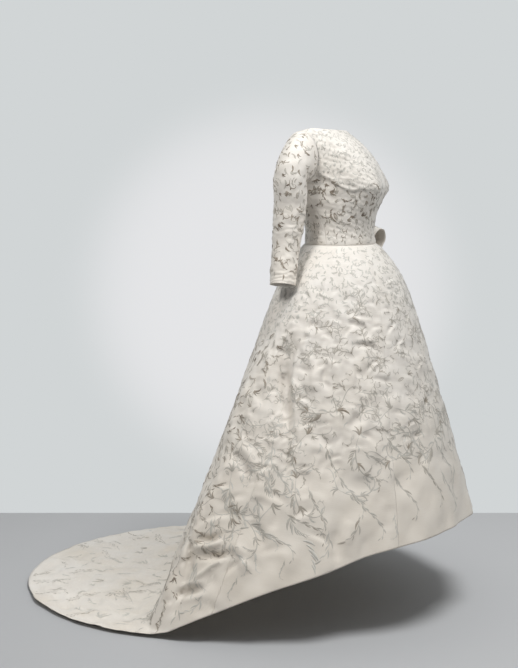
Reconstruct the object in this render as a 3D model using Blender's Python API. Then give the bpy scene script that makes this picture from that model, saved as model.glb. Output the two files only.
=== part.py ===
"""A long-sleeved wedding gown with a rounded train, as the panels that are cut and sewn.

The wearer faces -Y, their left is +X, and +Z is up. The tables give heights above the floor that
the train lies on. An empty carries every panel and puts the origin where the shoulders hold it.
"""

import math

import bmesh
import bpy
import numpy as np

# Cloth, seams and the place where the shoulders hold the gown
CLOTH = 0.002
SEAM_GAP = 0.0003
HELD_AT = (0.0, 0.08, 1.585)

# Heights of the bodice
WAIST = 1.217
UNDERARM = 1.42
NECK_FRONT = 1.575
NECK_BACK = 1.587

# Plan of the neck and the shoulders
NECK_FRONT_Y = -0.010
NECK_BACK_Y = 0.150
NECK_POINT = (0.118, 0.086, 1.598)
SHOULDER_TIP_HALF = 0.158
SHOULDER_TIP_HEIGHT = 1.588
NECKLINE_SHARE = 0.74

# Bust
BUST_HEIGHT = 1.405
BUST_HALF_APART = 0.085
BUST_SPREAD = 0.045
BUST_RISE = 0.042
BUST_FULLNESS = 0.010

# Armholes and the turn of the sleeve heads
ARMHOLE_HALF_DEPTH = 0.058
UNDERARM_TURN = 0.006
SIDE_SEAM_WAIST = math.radians(96)
SIDE_SEAM_UNDERARM = math.radians(96)

# Skirt, hem and train
HIP_FRONT = 0.080
HIP_BACK = 0.060
HIP_DROP = 0.065
HEM_FRONT = 0.315
HEM_FRONT_REACH = 0.897
HEM_SWEEP = 1.48
TOUCH_DOWN_Y = 0.45
TRAIN_CENTRE_Y = 0.50
TRAIN_HALF_WIDTH_LEFT = 0.66
TRAIN_HALF_WIDTH_RIGHT = 0.62
TRAIN_HALF_LENGTH = 0.64
BREAK_BACK = 0.107
BREAK_ROUND = 0.045
BREAK_TRAIL = 0.15
FLAT_TRIM = 0.0015

# The strip over the back opening
PLACKET_HALF_WIDTH = 0.010
PLACKET_CLOTH = 0.0014
PLACKET_END_SHARE = 0.13

# How finely each way of a panel is divided
BODICE_LOWER_ROWS = 7
BODICE_UPPER_ROWS = 7
UNDERARM_SHARE = 0.5
NECK_COLUMNS = 8
SHOULDER_COLUMNS = 3
SLEEVE_SIDES = 18
STEP = 1e-3


def table(names, rows):
    """A short table whose columns are read by name."""
    return dict(zip(names.split(), np.array(rows, float).T))


TORSO = table(
    "height front middle back half_width square_front square_back",
    (
        (1.217, -0.092, 0.016, 0.124, 0.125, 2.0, 2.1),
        (1.270, -0.094, 0.026, 0.132, 0.128, 2.2, 2.2),
        (1.320, -0.103, 0.044, 0.144, 0.135, 2.5, 2.4),
        (1.362, -0.119, 0.066, 0.157, 0.143, 2.9, 2.5),
        (1.402, -0.131, 0.088, 0.170, 0.149, 3.1, 2.6),
        (1.440, -0.128, 0.104, 0.181, 0.152, 3.0, 2.8),
        (1.480, -0.113, 0.110, 0.190, 0.153, 2.9, 2.9),
        (1.520, -0.085, 0.108, 0.191, 0.153, 2.7, 2.9),
        (1.555, -0.047, 0.100, 0.181, 0.152, 2.4, 2.7),
        (1.587, -0.008, 0.090, 0.160, 0.150, 2.1, 2.5),
    ),
)

# The end of each row beside the armhole, as angles round the torso
ARMHOLE_ENDS = table(
    "rise front back",
    (
        (0.00, SIDE_SEAM_UNDERARM, SIDE_SEAM_UNDERARM),
        (0.25, math.radians(84), math.radians(110)),
        (0.50, math.radians(80), math.radians(122)),
        (0.75, math.radians(84), math.radians(118)),
        (1.00, math.radians(92), math.radians(108)),
    ),
)

# The line of each arm below the sleeve head, on the wearer's left side
STRAIGHT_ARM = table(
    "x y z half_depth half_width",
    (
        (0.191, 0.134, 1.370, 0.0545, 0.0520),
        (0.192, 0.141, 1.300, 0.0525, 0.0505),
        (0.196, 0.148, 1.215, 0.0495, 0.0485),
        (0.210, 0.151, 1.150, 0.0470, 0.0470),
        (0.224, 0.151, 1.091, 0.0455, 0.0455),
    ),
)
BENT_ARM = table(
    "x y z half_depth half_width",
    (
        (0.208, 0.130, 1.370, 0.0545, 0.0520),
        (0.226, 0.136, 1.325, 0.0535, 0.0510),
        (0.238, 0.132, 1.283, 0.0520, 0.0500),
        (0.240, 0.102, 1.256, 0.0500, 0.0490),
        (0.234, 0.050, 1.243, 0.0485, 0.0475),
        (0.217, -0.015, 1.229, 0.0465, 0.0460),
        (0.199, -0.072, 1.217, 0.0450, 0.0450),
    ),
)
STRAIGHT_TURN = math.radians(88)
BENT_TURN = math.radians(74)
HEAD_ROWS = 6
STRAIGHT_ROWS = 8
BENT_ROWS = 11

# The largest folds of the skirt: angle from the centre front, wearer's left positive, the shares
# of the way down where the fold starts, is deepest and ends, its half width, rise and slant
FOLDS = table(
    "angle starts fullest ends half_width rise slant",
    (
        (-117, 0.00, 0.10, 0.32, 15.0, -0.025, 0),
        (-79, 0.18, 0.38, 0.62, 5.8, -0.028, 58),
        (-75.5, 0.26, 0.40, 0.56, 2.8, 0.011, 44),
        (-65.5, 0.33, 0.40, 0.47, 5.0, 0.007, 20),
        (80, 0.22, 0.42, 0.68, 6.5, -0.018, -50),
        (74, 0.28, 0.46, 0.70, 4.0, 0.008, -42),
        (-56, 0.62, 1.05, 1.60, 7.0, 0.012, 2),
        (-44, 0.60, 1.05, 1.60, 6.0, -0.011, 1),
        (-27, 0.64, 1.05, 1.60, 6.5, 0.010, 0),
        (-8, 0.66, 1.05, 1.60, 6.0, -0.009, 0),
        (12, 0.64, 1.05, 1.60, 7.0, 0.010, 0),
        (33, 0.62, 1.05, 1.60, 6.5, -0.011, -1),
        (52, 0.60, 1.05, 1.60, 7.0, 0.012, -2),
        (-104, 0.52, 0.70, 0.90, 8.0, 0.014, 6),
        (-126, 0.50, 0.64, 0.74, 8.0, -0.020, -10),
        (-146, 0.50, 0.62, 0.72, 7.5, 0.020, 12),
        (-168, 0.48, 0.62, 0.72, 8.0, -0.018, -8),
        (106, 0.52, 0.70, 0.90, 8.0, 0.014, -6),
        (130, 0.50, 0.63, 0.74, 8.0, -0.018, 9),
        (154, 0.50, 0.62, 0.72, 8.0, 0.018, -12),
    ),
)

# The skirt's gores, by the angles of their seams and how their columns crowd to the side seam
GORES = {
    "skirt_front": (-36, 36, 12, 1.0),
    "skirt_side_front_left": (36, 78, 11, -1.3),
    "skirt_side_back_left": (78, 132, 14, 1.4),
    "skirt_back_left": (132, 180, 10, 1.0),
    "skirt_back_right": (-180, -132, 10, 1.0),
    "skirt_side_back_right": (-132, -78, 14, -1.4),
    "skirt_side_front_right": (-78, -36, 11, 1.3),
}
SKIRT_ROWS = table(
    "row share",
    ((0, 0.0), (2, 0.03), (5, 0.10), (9, 0.30), (13, 0.50), (19, 0.74), (23, 0.88), (26, 1.0)),
)


def read(rows, column, at):
    """One column's values at places along the table's first column, on a smooth curve."""
    places = next(iter(rows.values()))
    values = rows[column]
    slopes = np.gradient(values, places)
    at = np.clip(at, places[0], places[-1])
    row = np.clip(np.searchsorted(places, at, side="right") - 1, 0, len(places) - 2)
    step = places[row + 1] - places[row]
    part = (at - places[row]) / step
    rest = 1 - part
    from_start = values[row] * (1 + 2 * part) + slopes[row] * step * part
    from_end = values[row + 1] * (1 + 2 * rest) - slopes[row + 1] * step * rest
    return rest**2 * from_start + part**2 * from_end


def ease(low, high, at):
    """0 below low, 1 above high, with a smooth change between."""
    part = np.clip((at - low) / (high - low), 0, 1)
    return part * part * (3 - 2 * part)


def squared(value, squareness):
    """A sine or cosine pushed out towards a squarer ring."""
    return np.sign(value) * np.abs(value) ** (2 / squareness)


def unit(vectors):
    """The vectors, each of length 1."""
    return vectors / np.linalg.norm(vectors, axis=-1, keepdims=True)


def torso(angle, height):
    """Points of the fitted body, left half: angle 0 is the centre front, pi the centre back."""
    at = {name: read(TORSO, name, height) for name in TORSO}
    facing = np.cos(angle)
    in_front = facing > 0
    square = np.where(in_front, at["square_front"], at["square_back"])
    reach = np.where(in_front, at["middle"] - at["front"], at["back"] - at["middle"])
    x = at["half_width"] * squared(np.sin(angle), (at["square_front"] + at["square_back"]) / 2)
    y = at["middle"] - reach * squared(facing, square)
    cup = np.exp(-(((x - BUST_HALF_APART) / BUST_SPREAD) ** 2))
    cup = cup * np.exp(-(((height - BUST_HEIGHT) / BUST_RISE) ** 2))
    y = y - BUST_FULLNESS * cup * np.clip(facing, 0, 1)
    return np.stack([x, y, height + 0 * x], axis=-1)


def underarm_point():
    """The foot of the left armhole, where the side seam ends."""
    return torso(np.array(SIDE_SEAM_UNDERARM), np.array(UNDERARM))


def shoulder_tip():
    """The top of the left armhole, above its foot."""
    return np.array([SHOULDER_TIP_HALF, underarm_point()[1], SHOULDER_TIP_HEIGHT])


def armhole(turn, towards):
    """The armhole's edge: turn goes from -90 degrees at its foot to 90 at the tip."""
    foot = underarm_point()
    tip = shoulder_tip()
    sine = np.sin(turn)[..., None]
    cosine = np.cos(turn)[..., None]
    depth = np.array([0.0, towards * ARMHOLE_HALF_DEPTH, 0.0])
    return (foot + tip) / 2 + (tip - foot) / 2 * sine + depth * cosine


def top_edge(across, neck_y, neck_height):
    """The neckline out to the neck point, then the shoulder seam out to the tip."""
    point = np.array(NECK_POINT)
    turn = np.clip(across / NECKLINE_SHARE, 0, 1) * math.pi / 2
    middle = np.array([0.0, neck_y, neck_height])
    x = point[0] * np.sin(turn)
    y = point[1] + (middle[1] - point[1]) * np.cos(turn)
    z = point[2] + (middle[2] - point[2]) * np.cos(turn)
    seam = np.clip((across - NECKLINE_SHARE) / (1 - NECKLINE_SHARE), 0, 1)[..., None]
    return np.stack([x, y, z], axis=-1) + (shoulder_tip() - point) * seam


def bodice(across, up, back):
    """The bodice: across is 0 at the middle and 1 at the side, up is 0 at the waist."""
    side = np.abs(across)
    rise = np.clip((up - UNDERARM_SHARE) / (1 - UNDERARM_SHARE), 0, 1)
    lower = np.clip(up / UNDERARM_SHARE, 0, 1)
    neck = NECK_BACK if back else NECK_FRONT
    height = WAIST + (UNDERARM - WAIST) * lower + (neck - UNDERARM) * rise
    seam = SIDE_SEAM_WAIST + (SIDE_SEAM_UNDERARM - SIDE_SEAM_WAIST) * ease(0, 1, lower)
    beside = read(ARMHOLE_ENDS, "back" if back else "front", rise)
    end = np.where(rise > 0, beside, seam)
    angle = math.pi - side * (math.pi - end) if back else side * end
    points = torso(angle, height)
    turn = (rise - 0.5) * math.pi
    pull = armhole(turn, 1 if back else -1) - torso(end + 0 * side, height)
    points = points + pull * (side**4 * (rise > 0))[..., None]
    edge = top_edge(side, NECK_BACK_Y if back else NECK_FRONT_Y, neck)
    blend = (rise**2)[..., None]
    points = points * (1 - blend) + edge * blend
    points[..., 0] = points[..., 0] * np.where(across < 0, -1, 1)
    return points


def folds(angle, share):
    """How far the folds lift the skirt, in metres, at an angle in radians."""
    lift = 0 * (angle + share)
    for row in range(len(FOLDS["angle"])):
        fold = {name: values[row] for name, values in FOLDS.items()}
        line = fold["angle"] + fold["slant"] * (share - fold["fullest"])
        off = (np.degrees(angle) - line + 180) % 360 - 180
        swell = ease(fold["starts"], fold["fullest"], share)
        fade = 1 - ease(fold["fullest"], fold["ends"], share)
        lift = lift + fold["rise"] * np.exp(-((off / fold["half_width"]) ** 2)) * swell * fade
    return lift


def skirt(angle, share):
    """The skirt and train: angle is 0 at the centre front, share runs down from the waist."""
    turn = np.abs(angle)
    outward = np.stack([np.sin(turn), -np.cos(turn)], axis=-1)
    top = torso(turn, WAIST + 0 * turn)[..., :2]
    behind = turn > math.pi / 2
    facing = np.clip(np.cos(turn), 0, 1)
    astern = np.clip(-np.cos(turn), 0, 1)

    # The foot is the hem in front, and behind it is where the fall meets the floor
    first = -math.asin((TRAIN_CENTRE_Y - TOUCH_DOWN_Y) / TRAIN_HALF_LENGTH)
    half_width = np.where(angle < 0, TRAIN_HALF_WIDTH_RIGHT, TRAIN_HALF_WIDTH_LEFT)
    side_reach = half_width * math.cos(first)
    foot_y = TOUCH_DOWN_Y - HEM_FRONT_REACH * facing + BREAK_BACK * astern
    foot = np.stack([side_reach * np.sin(turn), foot_y], axis=-1)
    hem = np.where(behind, 0, HEM_FRONT * (1 - (1 - facing) ** HEM_SWEEP)) + CLOTH

    # The edge of the train is an ellipse on the floor
    swing = first + (math.pi / 2 - first) * (turn / (math.pi / 2) - 1)
    edge_x = half_width * np.cos(swing)
    edge_y = TRAIN_CENTRE_Y + TRAIN_HALF_LENGTH * np.sin(swing)
    edge = np.where(behind[..., None], np.stack([edge_x, edge_y], axis=-1), foot)

    # The way down the fall and then along the floor
    hip = HIP_BACK + (HIP_FRONT - HIP_BACK) * (1 + np.cos(turn)) / 2
    run = foot - top - outward * hip[..., None]
    drop = WAIST - hem
    fall = np.sqrt((run**2).sum(axis=-1) + drop**2)
    trail = np.linalg.norm(edge - foot, axis=-1)
    way = share * (fall + trail)
    down = np.clip(way / fall, 0, 1)
    along = np.clip((way - fall) / np.maximum(trail, 1e-6), 0, 1)
    settled = 1 - np.exp(-down * drop / HIP_DROP)
    plan = top + outward * (hip * settled)[..., None] + run * down[..., None]
    plan = plan + (edge - foot) * along[..., None]

    # The turn onto the floor is rounded, and the train then lies flat
    level = drop * (1 - way / fall)
    rounding = BREAK_ROUND * (1 - np.exp(-trail / BREAK_TRAIL)) * behind
    soft = (np.sqrt(level**2 + rounding**2) - np.abs(level)) / 2 * np.exp(-np.abs(level) / 0.25)
    flat = np.maximum(soft - FLAT_TRIM * np.clip(along * 5, 0, 1), 0)
    height = hem + np.maximum(level, 0) + np.where(level > 0, soft, flat)

    lift = folds(angle, share)
    lying = np.clip(along * 8, 0, 1) * behind
    plan = plan + outward * (lift * (1 - lying))[..., None]
    height = height + np.maximum(lift, 0) * lying
    x = plan[..., 0] * np.where(angle < 0, -1, 1)
    return np.stack([x, plan[..., 1], height], axis=-1)


def normals(surface, across, along, limits, furthest=1.0):
    """Unit normals of a surface, from its slopes each way."""
    low, high = limits
    right = surface(np.clip(across + STEP, low, high), along)
    left = surface(np.clip(across - STEP, low, high), along)
    further = surface(across, np.minimum(along + STEP, furthest))
    nearer = surface(across, np.clip(along - STEP, 0, 1))
    return unit(np.cross(right - left, further - nearer))


def inset(points, amounts):
    """Moves each of a grid's four edges in by its amount: first and last column, first and last row."""
    first_column, last_column, first_row, last_row = amounts
    moved = points.copy()
    moved[:, 0] += unit(points[:, 1] - points[:, 0]) * first_column
    moved[:, -1] += unit(points[:, -2] - points[:, -1]) * last_column
    moved[0] += unit(points[1] - points[0]) * first_row
    moved[-1] += unit(points[-2] - points[-1]) * last_row
    return moved


def cloth_material(name, colour, roughness):
    """A Principled cloth in one colour."""
    material = bpy.data.materials.new(name)
    material.use_nodes = True
    shader = material.node_tree.nodes["Principled BSDF"]
    shader.inputs["Base Color"].default_value = (*colour, 1.0)
    shader.inputs["Roughness"].default_value = roughness
    shader.inputs["Metallic"].default_value = 0.0
    return material


def wall(name, outer, inner, carrier, material, closed=False):
    """A closed wall between two grids of points. A closed one is a tube."""
    rows, columns, _ = outer.shape
    anchor = outer.reshape(-1, 3).mean(axis=0)
    mesh = bpy.data.meshes.new(name)
    shape = bmesh.new()
    skins = []
    for points in (outer, inner):
        skins.append([[shape.verts.new(p - anchor) for p in row] for row in points])
    outside, inside = skins
    for row in range(rows - 1):
        for column in range(columns if closed else columns - 1):
            beside = (column + 1) % columns
            for skin, order in ((outside, 1), (inside, -1)):
                a = skin[row][column]
                b = skin[row][beside]
                c = skin[row + 1][beside]
                d = skin[row + 1][column]
                shape.faces.new((a, b, c)[::order])
                shape.faces.new((a, c, d)[::order])
    rims = []
    loop = list(range(columns)) + ([0] if closed else [])
    rims.append([(outside[0][i], inside[0][i]) for i in loop])
    rims.append([(outside[-1][i], inside[-1][i]) for i in reversed(loop)])
    if not closed:
        rims.append([(outside[i][-1], inside[i][-1]) for i in range(rows)])
        rims.append([(outside[i][0], inside[i][0]) for i in reversed(range(rows))])
    for rim in rims:
        for (a, b), (c, d) in zip(rim, rim[1:]):
            shape.faces.new((a, b, d))
            shape.faces.new((a, d, c))
    bmesh.ops.recalc_face_normals(shape, faces=shape.faces)
    shape.to_mesh(mesh)
    shape.free()
    mesh.shade_smooth()
    mesh.set_sharp_from_angle(angle=math.radians(40))
    mesh.materials.append(material)
    panel = bpy.data.objects.new(name, mesh)
    panel.location = anchor
    panel.parent = carrier
    bpy.context.scene.collection.objects.link(panel)
    return panel


def bodice_columns():
    """Shares of the way across half a bodice panel, with one at the neck point."""
    neck = np.linspace(0, NECKLINE_SHARE, NECK_COLUMNS, endpoint=False)
    return np.append(neck, np.linspace(NECKLINE_SHARE, 1, SHOULDER_COLUMNS + 1))


def bodice_rows():
    """Shares of the way up a bodice panel, with one at the underarm."""
    lower = np.linspace(0, UNDERARM_SHARE, BODICE_LOWER_ROWS, endpoint=False)
    return np.append(lower, np.linspace(UNDERARM_SHARE, 1, BODICE_UPPER_ROWS + 1))


def bodice_panel(name, columns, back, carrier, material):
    """One panel of the bodice, between the given first and last columns."""
    across, up = np.meshgrid(columns, bodice_rows())

    def surface(a, b):
        return bodice(a, b, back)

    outer = surface(across, up)
    # The seam's end under the arm faces as the seam below it does, on both panels
    furthest = np.where(up > UNDERARM_SHARE, 1.0, UNDERARM_SHARE)
    facing = normals(surface, across, up, (min(columns), max(columns)), furthest)
    facing = facing * (-1 if back else 1)
    on_shoulder = (np.abs(across) > NECKLINE_SHARE - STEP) & (up > 1 - STEP)
    facing[on_shoulder] = (0.0, 0.0, 1.0)
    half = SEAM_GAP / 2
    outer = inset(outer, (half, half, half, half))
    return wall(name, outer, outer - facing * CLOTH, carrier, material)


def skirt_shares():
    """Shares of the way down the skirt, closer at the hips and at the turn onto the floor."""
    rows = np.arange(SKIRT_ROWS["row"][-1] + 1)
    return np.interp(rows, SKIRT_ROWS["row"], SKIRT_ROWS["share"])


def gore(name, first, last, count, crowd, carrier, material):
    """One gore of the skirt, from the waist to the hem or to the edge of the train."""
    part = np.linspace(0, 1, count + 1)
    part = part**crowd if crowd > 0 else 1 - (1 - part) ** -crowd
    limits = (math.radians(first), math.radians(last))
    angle, share = np.meshgrid(limits[0] + (limits[1] - limits[0]) * part, skirt_shares())
    outer = skirt(angle, share)
    facing = -normals(skirt, angle, share, (-math.pi, math.pi))
    half = SEAM_GAP / 2
    outer = inset(outer, (half, half, half, 0.0))
    inner = outer - facing * CLOTH
    low = inner[..., 2]
    low[low < SEAM_GAP] = 0.0
    return wall(name, outer, inner, carrier, material)


def sleeve_rings(arm, turn, count):
    """Centres, frames and half sizes of a left sleeve's rings, from the armhole to the cuff."""
    foot = underarm_point()
    tip = shoulder_tip()
    half_height = np.linalg.norm(tip - foot) / 2
    lean = math.atan2(tip[0] - foot[0], tip[2] - foot[2])
    start = np.array([math.sin(lean), 0.0, math.cos(lean)])
    pivot = foot - start * UNDERARM_TURN + np.array([math.cos(lean), 0, -math.sin(lean)]) * SEAM_GAP
    rings = []
    for bend in np.linspace(lean, turn, HEAD_ROWS + 1):
        part = (bend - lean) / (turn - lean)
        upright = np.array([math.sin(bend), 0.0, math.cos(bend)])
        width = half_height + (arm["half_width"][0] - half_height) * ease(0, 1, part) ** 0.7
        depth = ARMHOLE_HALF_DEPTH + (arm["half_depth"][0] - ARMHOLE_HALF_DEPTH) * part
        centre = pivot + upright * (UNDERARM_TURN + width)
        centre[1] += (arm["y"][0] - pivot[1]) * ease(0, 1, part)
        rings.append((centre, np.array([0.0, 1.0, 0.0]), upright, depth, width))
    first = rings[-1][0]
    points = np.vstack([first, np.stack([arm["x"], arm["y"], arm["z"]], axis=-1)])
    spaced = np.append(0, np.cumsum(np.linalg.norm(np.diff(points, axis=0), axis=1)))
    line = {"along": spaced, "x": points[:, 0], "y": points[:, 1], "z": points[:, 2]}
    for name in ("half_depth", "half_width"):
        line[name] = np.append(arm[name][0], arm[name])
    fore = rings[-1][1]
    for along in np.linspace(0, spaced[-1], count + 1)[1:]:
        near = np.array([read(line, axis, along - STEP) for axis in "xyz"])
        far = np.array([read(line, axis, along + STEP) for axis in "xyz"])
        heading = unit(far - near)
        fore = unit(fore - heading * (fore @ heading))
        centre = np.array([read(line, axis, along) for axis in "xyz"])
        depth = read(line, "half_depth", along)
        width = read(line, "half_width", along)
        rings.append((centre, fore, np.cross(heading, fore), depth, width))
    return rings


def sleeve(name, rings, side, carrier, material):
    """A sleeve as a tube through its rings. side is 1 for the wearer's left and -1 for the right."""
    turn = np.linspace(-math.pi / 2, 1.5 * math.pi, SLEEVE_SIDES, endpoint=False)
    cosine = np.cos(turn)[:, None]
    sine = np.sin(turn)[:, None]
    skins = []
    for less in (0.0, CLOTH):
        rows = [c + f * cosine * (d - less) + u * sine * (w - less) for c, f, u, d, w in rings]
        skins.append(np.array(rows) * (side, 1, 1))
    return wall(name, skins[0], skins[1], carrier, material, closed=True)


def placket(carrier, material):
    """The strip that covers the opening down the centre back."""
    rows = bodice_rows()[::-1]
    upper = bodice(0 * rows, rows, True)
    upper[-1, 2] += SEAM_GAP / 2
    shares = skirt_shares()
    shares = shares[(shares > 0) & (shares <= PLACKET_END_SHARE)]
    lower = skirt(0 * shares + math.pi, shares)
    line = np.vstack([upper, lower])
    line[:, 0] = 0
    heading = unit(np.gradient(line, axis=0))
    outward = np.stack([0 * line[:, 0], -heading[:, 2], heading[:, 1]], axis=-1)
    half = np.array([PLACKET_HALF_WIDTH, 0, 0])
    inner = np.stack([line - half, line + half], axis=1) + outward[:, None] * SEAM_GAP * 2
    outer = inner + outward[:, None] * PLACKET_CLOTH
    return wall("back_placket", outer, inner, carrier, material)


def gown():
    """Every piece of the gown, carried by one empty."""
    for old in list(bpy.data.objects):
        bpy.data.objects.remove(old)
    silk = cloth_material("ivory_silk", (0.80, 0.77, 0.71), 0.55)
    carrier = bpy.data.objects.new("gown_carrier", None)
    carrier.location = [-value for value in HELD_AT]
    bpy.context.scene.collection.objects.link(carrier)
    half = bodice_columns()
    whole = np.append(-half[:0:-1], half)
    bodice_panel("bodice_front", whole, False, carrier, silk)
    bodice_panel("bodice_back_left", half, True, carrier, silk)
    bodice_panel("bodice_back_right", -half[::-1], True, carrier, silk)
    straight = sleeve_rings(STRAIGHT_ARM, STRAIGHT_TURN, STRAIGHT_ROWS)
    sleeve("sleeve_right", straight, -1, carrier, silk)
    bent = sleeve_rings(BENT_ARM, BENT_TURN, BENT_ROWS)
    sleeve("sleeve_left", bent, 1, carrier, silk)
    for name, (first, last, count, crowd) in GORES.items():
        gore(name, first, last, count, crowd, carrier, silk)
    placket(carrier, silk)


gown()
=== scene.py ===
"""A long-sleeved ivory silk wedding gown with grey thread work, dressed over its packed panels."""

import math

import bpy
import numpy as np
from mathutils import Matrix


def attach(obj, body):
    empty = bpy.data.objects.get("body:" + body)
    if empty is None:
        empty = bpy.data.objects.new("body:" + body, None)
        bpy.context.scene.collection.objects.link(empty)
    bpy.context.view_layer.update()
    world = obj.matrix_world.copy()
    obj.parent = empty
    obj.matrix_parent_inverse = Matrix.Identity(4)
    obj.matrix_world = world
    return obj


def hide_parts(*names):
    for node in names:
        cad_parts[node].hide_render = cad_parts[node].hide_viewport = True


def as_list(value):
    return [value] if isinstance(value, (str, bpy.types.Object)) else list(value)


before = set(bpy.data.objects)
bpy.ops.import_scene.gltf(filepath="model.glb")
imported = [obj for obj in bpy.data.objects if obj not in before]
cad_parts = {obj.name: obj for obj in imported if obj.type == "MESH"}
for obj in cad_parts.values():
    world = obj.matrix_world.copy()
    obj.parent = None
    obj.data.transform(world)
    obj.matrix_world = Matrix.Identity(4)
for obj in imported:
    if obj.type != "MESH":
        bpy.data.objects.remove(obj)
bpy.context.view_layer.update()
chance = np.random.default_rng(7)

# The shape of the gown, as in its solids apart from the front edge of the neck, the chest above the
# bust and one fold, which follow the picture more closely. Heights are above the floor
HELD_AT = np.array([0.0, 0.08, 1.585])
CLOTH = 0.002
SILK = 0.0010
SEAM_GAP = 0.0003
SEAM_EASE = 0.00002
LYING_BELOW = 0.03
LYING_SILK = 0.8 * SILK
CLEAR_OF_FLOOR = 0.0002
WAIST = 1.217
WAIST_ROUNDING = 0.0090
WAIST_ROUNDING_REACH = 0.029
WAIST_MIDDLE = (0.0, 0.016)
WAIST_HALF_SIZES = np.array([0.125, 0.108])
UNDERARM = 1.42
NECK_FRONT = 1.592
NECK_BACK = 1.587
NECK_FRONT_Y = 0.004
NECK_BACK_Y = 0.150
NECK_POINT = np.array([0.118, 0.086, 1.598])
SHOULDER_TIP_HALF = 0.158
SHOULDER_TIP_HEIGHT = 1.588
NECKLINE_SHARE = 0.74
BUST_HEIGHT = 1.405
BUST_HALF_APART = 0.085
BUST_SPREAD = 0.045
BUST_RISE = 0.042
BUST_FULLNESS = 0.010
ARMHOLE_HALF_DEPTH = 0.058
UNDERARM_TURN = 0.006
UNDERARM_SHARE = 0.5
SIDE_SEAM = math.radians(96)
HIP_FRONT = 0.080
HIP_BACK = 0.060
HIP_DROP = 0.065
HEM_FRONT = 0.315
HEM_FRONT_REACH = 0.897
HEM_SWEEP = 1.48
TOUCH_DOWN_Y = 0.45
TRAIN_CENTRE_Y = 0.50
TRAIN_HALF_WIDTH_LEFT = 0.66
TRAIN_HALF_WIDTH_RIGHT = 0.62
TRAIN_HALF_LENGTH = 0.64
BREAK_BACK = 0.107
BREAK_ROUND = 0.045
BREAK_TRAIL = 0.15
BREAK_FADE = 0.25
FLAT_TRIM = 0.0015
TRIM_RATE = 5
LYING_RATE = 8
PLACKET_HALF_WIDTH = 0.010
PLACKET_END_SHARE = 0.13
PLACKET_LIFT = 0.0026
STEP = 1e-3
SMALLEST = 1e-7


def table(names, *rows):
    """A short table whose columns are read by name."""
    return dict(zip(names.split(), np.array(rows, float).T))


TORSO = table(
    "height front middle back half_width square_front square_back",
    (1.217, -0.092, 0.016, 0.124, 0.125, 2.0, 2.1),
    (1.270, -0.094, 0.026, 0.132, 0.128, 2.2, 2.2),
    (1.320, -0.103, 0.044, 0.144, 0.135, 2.5, 2.4),
    (1.362, -0.119, 0.066, 0.157, 0.143, 2.9, 2.5),
    (1.402, -0.131, 0.088, 0.170, 0.149, 3.1, 2.6),
    (1.440, -0.123, 0.104, 0.181, 0.152, 3.0, 2.8),
    (1.480, -0.107, 0.110, 0.190, 0.153, 2.9, 2.9),
    (1.520, -0.080, 0.108, 0.191, 0.153, 2.7, 2.9),
    (1.555, -0.035, 0.100, 0.181, 0.152, 2.4, 2.7),
    (1.587, 0.004, 0.090, 0.160, 0.150, 2.1, 2.5),
)
ARMHOLE_ENDS = table(
    "rise front back",
    (0.00, SIDE_SEAM, SIDE_SEAM),
    (0.25, math.radians(84), math.radians(110)),
    (0.50, math.radians(80), math.radians(122)),
    (0.75, math.radians(84), math.radians(118)),
    (1.00, math.radians(92), math.radians(108)),
)
STRAIGHT_ARM = table(
    "x y z half_depth half_width",
    (0.191, 0.134, 1.370, 0.0545, 0.0520),
    (0.192, 0.141, 1.300, 0.0525, 0.0505),
    (0.196, 0.148, 1.215, 0.0495, 0.0485),
    (0.210, 0.151, 1.150, 0.0470, 0.0470),
    (0.224, 0.151, 1.091, 0.0455, 0.0455),
)
BENT_ARM = table(
    "x y z half_depth half_width",
    (0.208, 0.130, 1.370, 0.0545, 0.0520),
    (0.226, 0.136, 1.325, 0.0535, 0.0510),
    (0.238, 0.132, 1.283, 0.0520, 0.0500),
    (0.240, 0.102, 1.256, 0.0500, 0.0490),
    (0.234, 0.050, 1.243, 0.0485, 0.0475),
    (0.217, -0.015, 1.229, 0.0465, 0.0460),
    (0.199, -0.072, 1.217, 0.0450, 0.0450),
)
STRAIGHT_TURN = math.radians(88)
BENT_TURN = math.radians(74)

# The largest folds of the skirt: angles in degrees from the centre front, shares of the way down
FOLDS = table(
    "angle starts fullest ends half_width rise slant",
    (-117, 0.00, 0.10, 0.32, 15.0, -0.025, 0),
    (-79, 0.18, 0.38, 0.62, 5.8, -0.028, 58),
    (-75.5, 0.26, 0.40, 0.56, 2.8, 0.011, 44),
    (-65.5, 0.33, 0.40, 0.47, 5.0, 0.007, 20),
    (80, 0.22, 0.42, 0.68, 6.5, -0.018, -50),
    (74, 0.28, 0.46, 0.70, 4.0, 0.008, -42),
    (-56, 0.62, 1.05, 1.60, 7.0, 0.012, 2),
    (-44, 0.60, 1.05, 1.60, 6.0, -0.011, 1),
    (-27, 0.64, 1.05, 1.60, 6.5, 0.010, 0),
    (-8, 0.66, 1.05, 1.60, 6.0, -0.009, 0),
    (12, 0.64, 1.05, 1.60, 7.0, -0.006, 0),
    (33, 0.62, 1.05, 1.60, 6.5, -0.011, -1),
    (52, 0.60, 1.05, 1.60, 7.0, 0.012, -2),
    (-104, 0.52, 0.70, 0.90, 8.0, 0.014, 6),
    (-126, 0.50, 0.64, 0.74, 8.0, -0.020, -10),
    (-146, 0.50, 0.62, 0.72, 7.5, 0.020, 12),
    (-168, 0.48, 0.62, 0.72, 8.0, -0.018, -8),
    (106, 0.52, 0.70, 0.90, 8.0, 0.014, -6),
    (130, 0.50, 0.63, 0.74, 8.0, -0.018, 9),
    (154, 0.50, 0.62, 0.72, 8.0, 0.018, -12),
)


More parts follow.
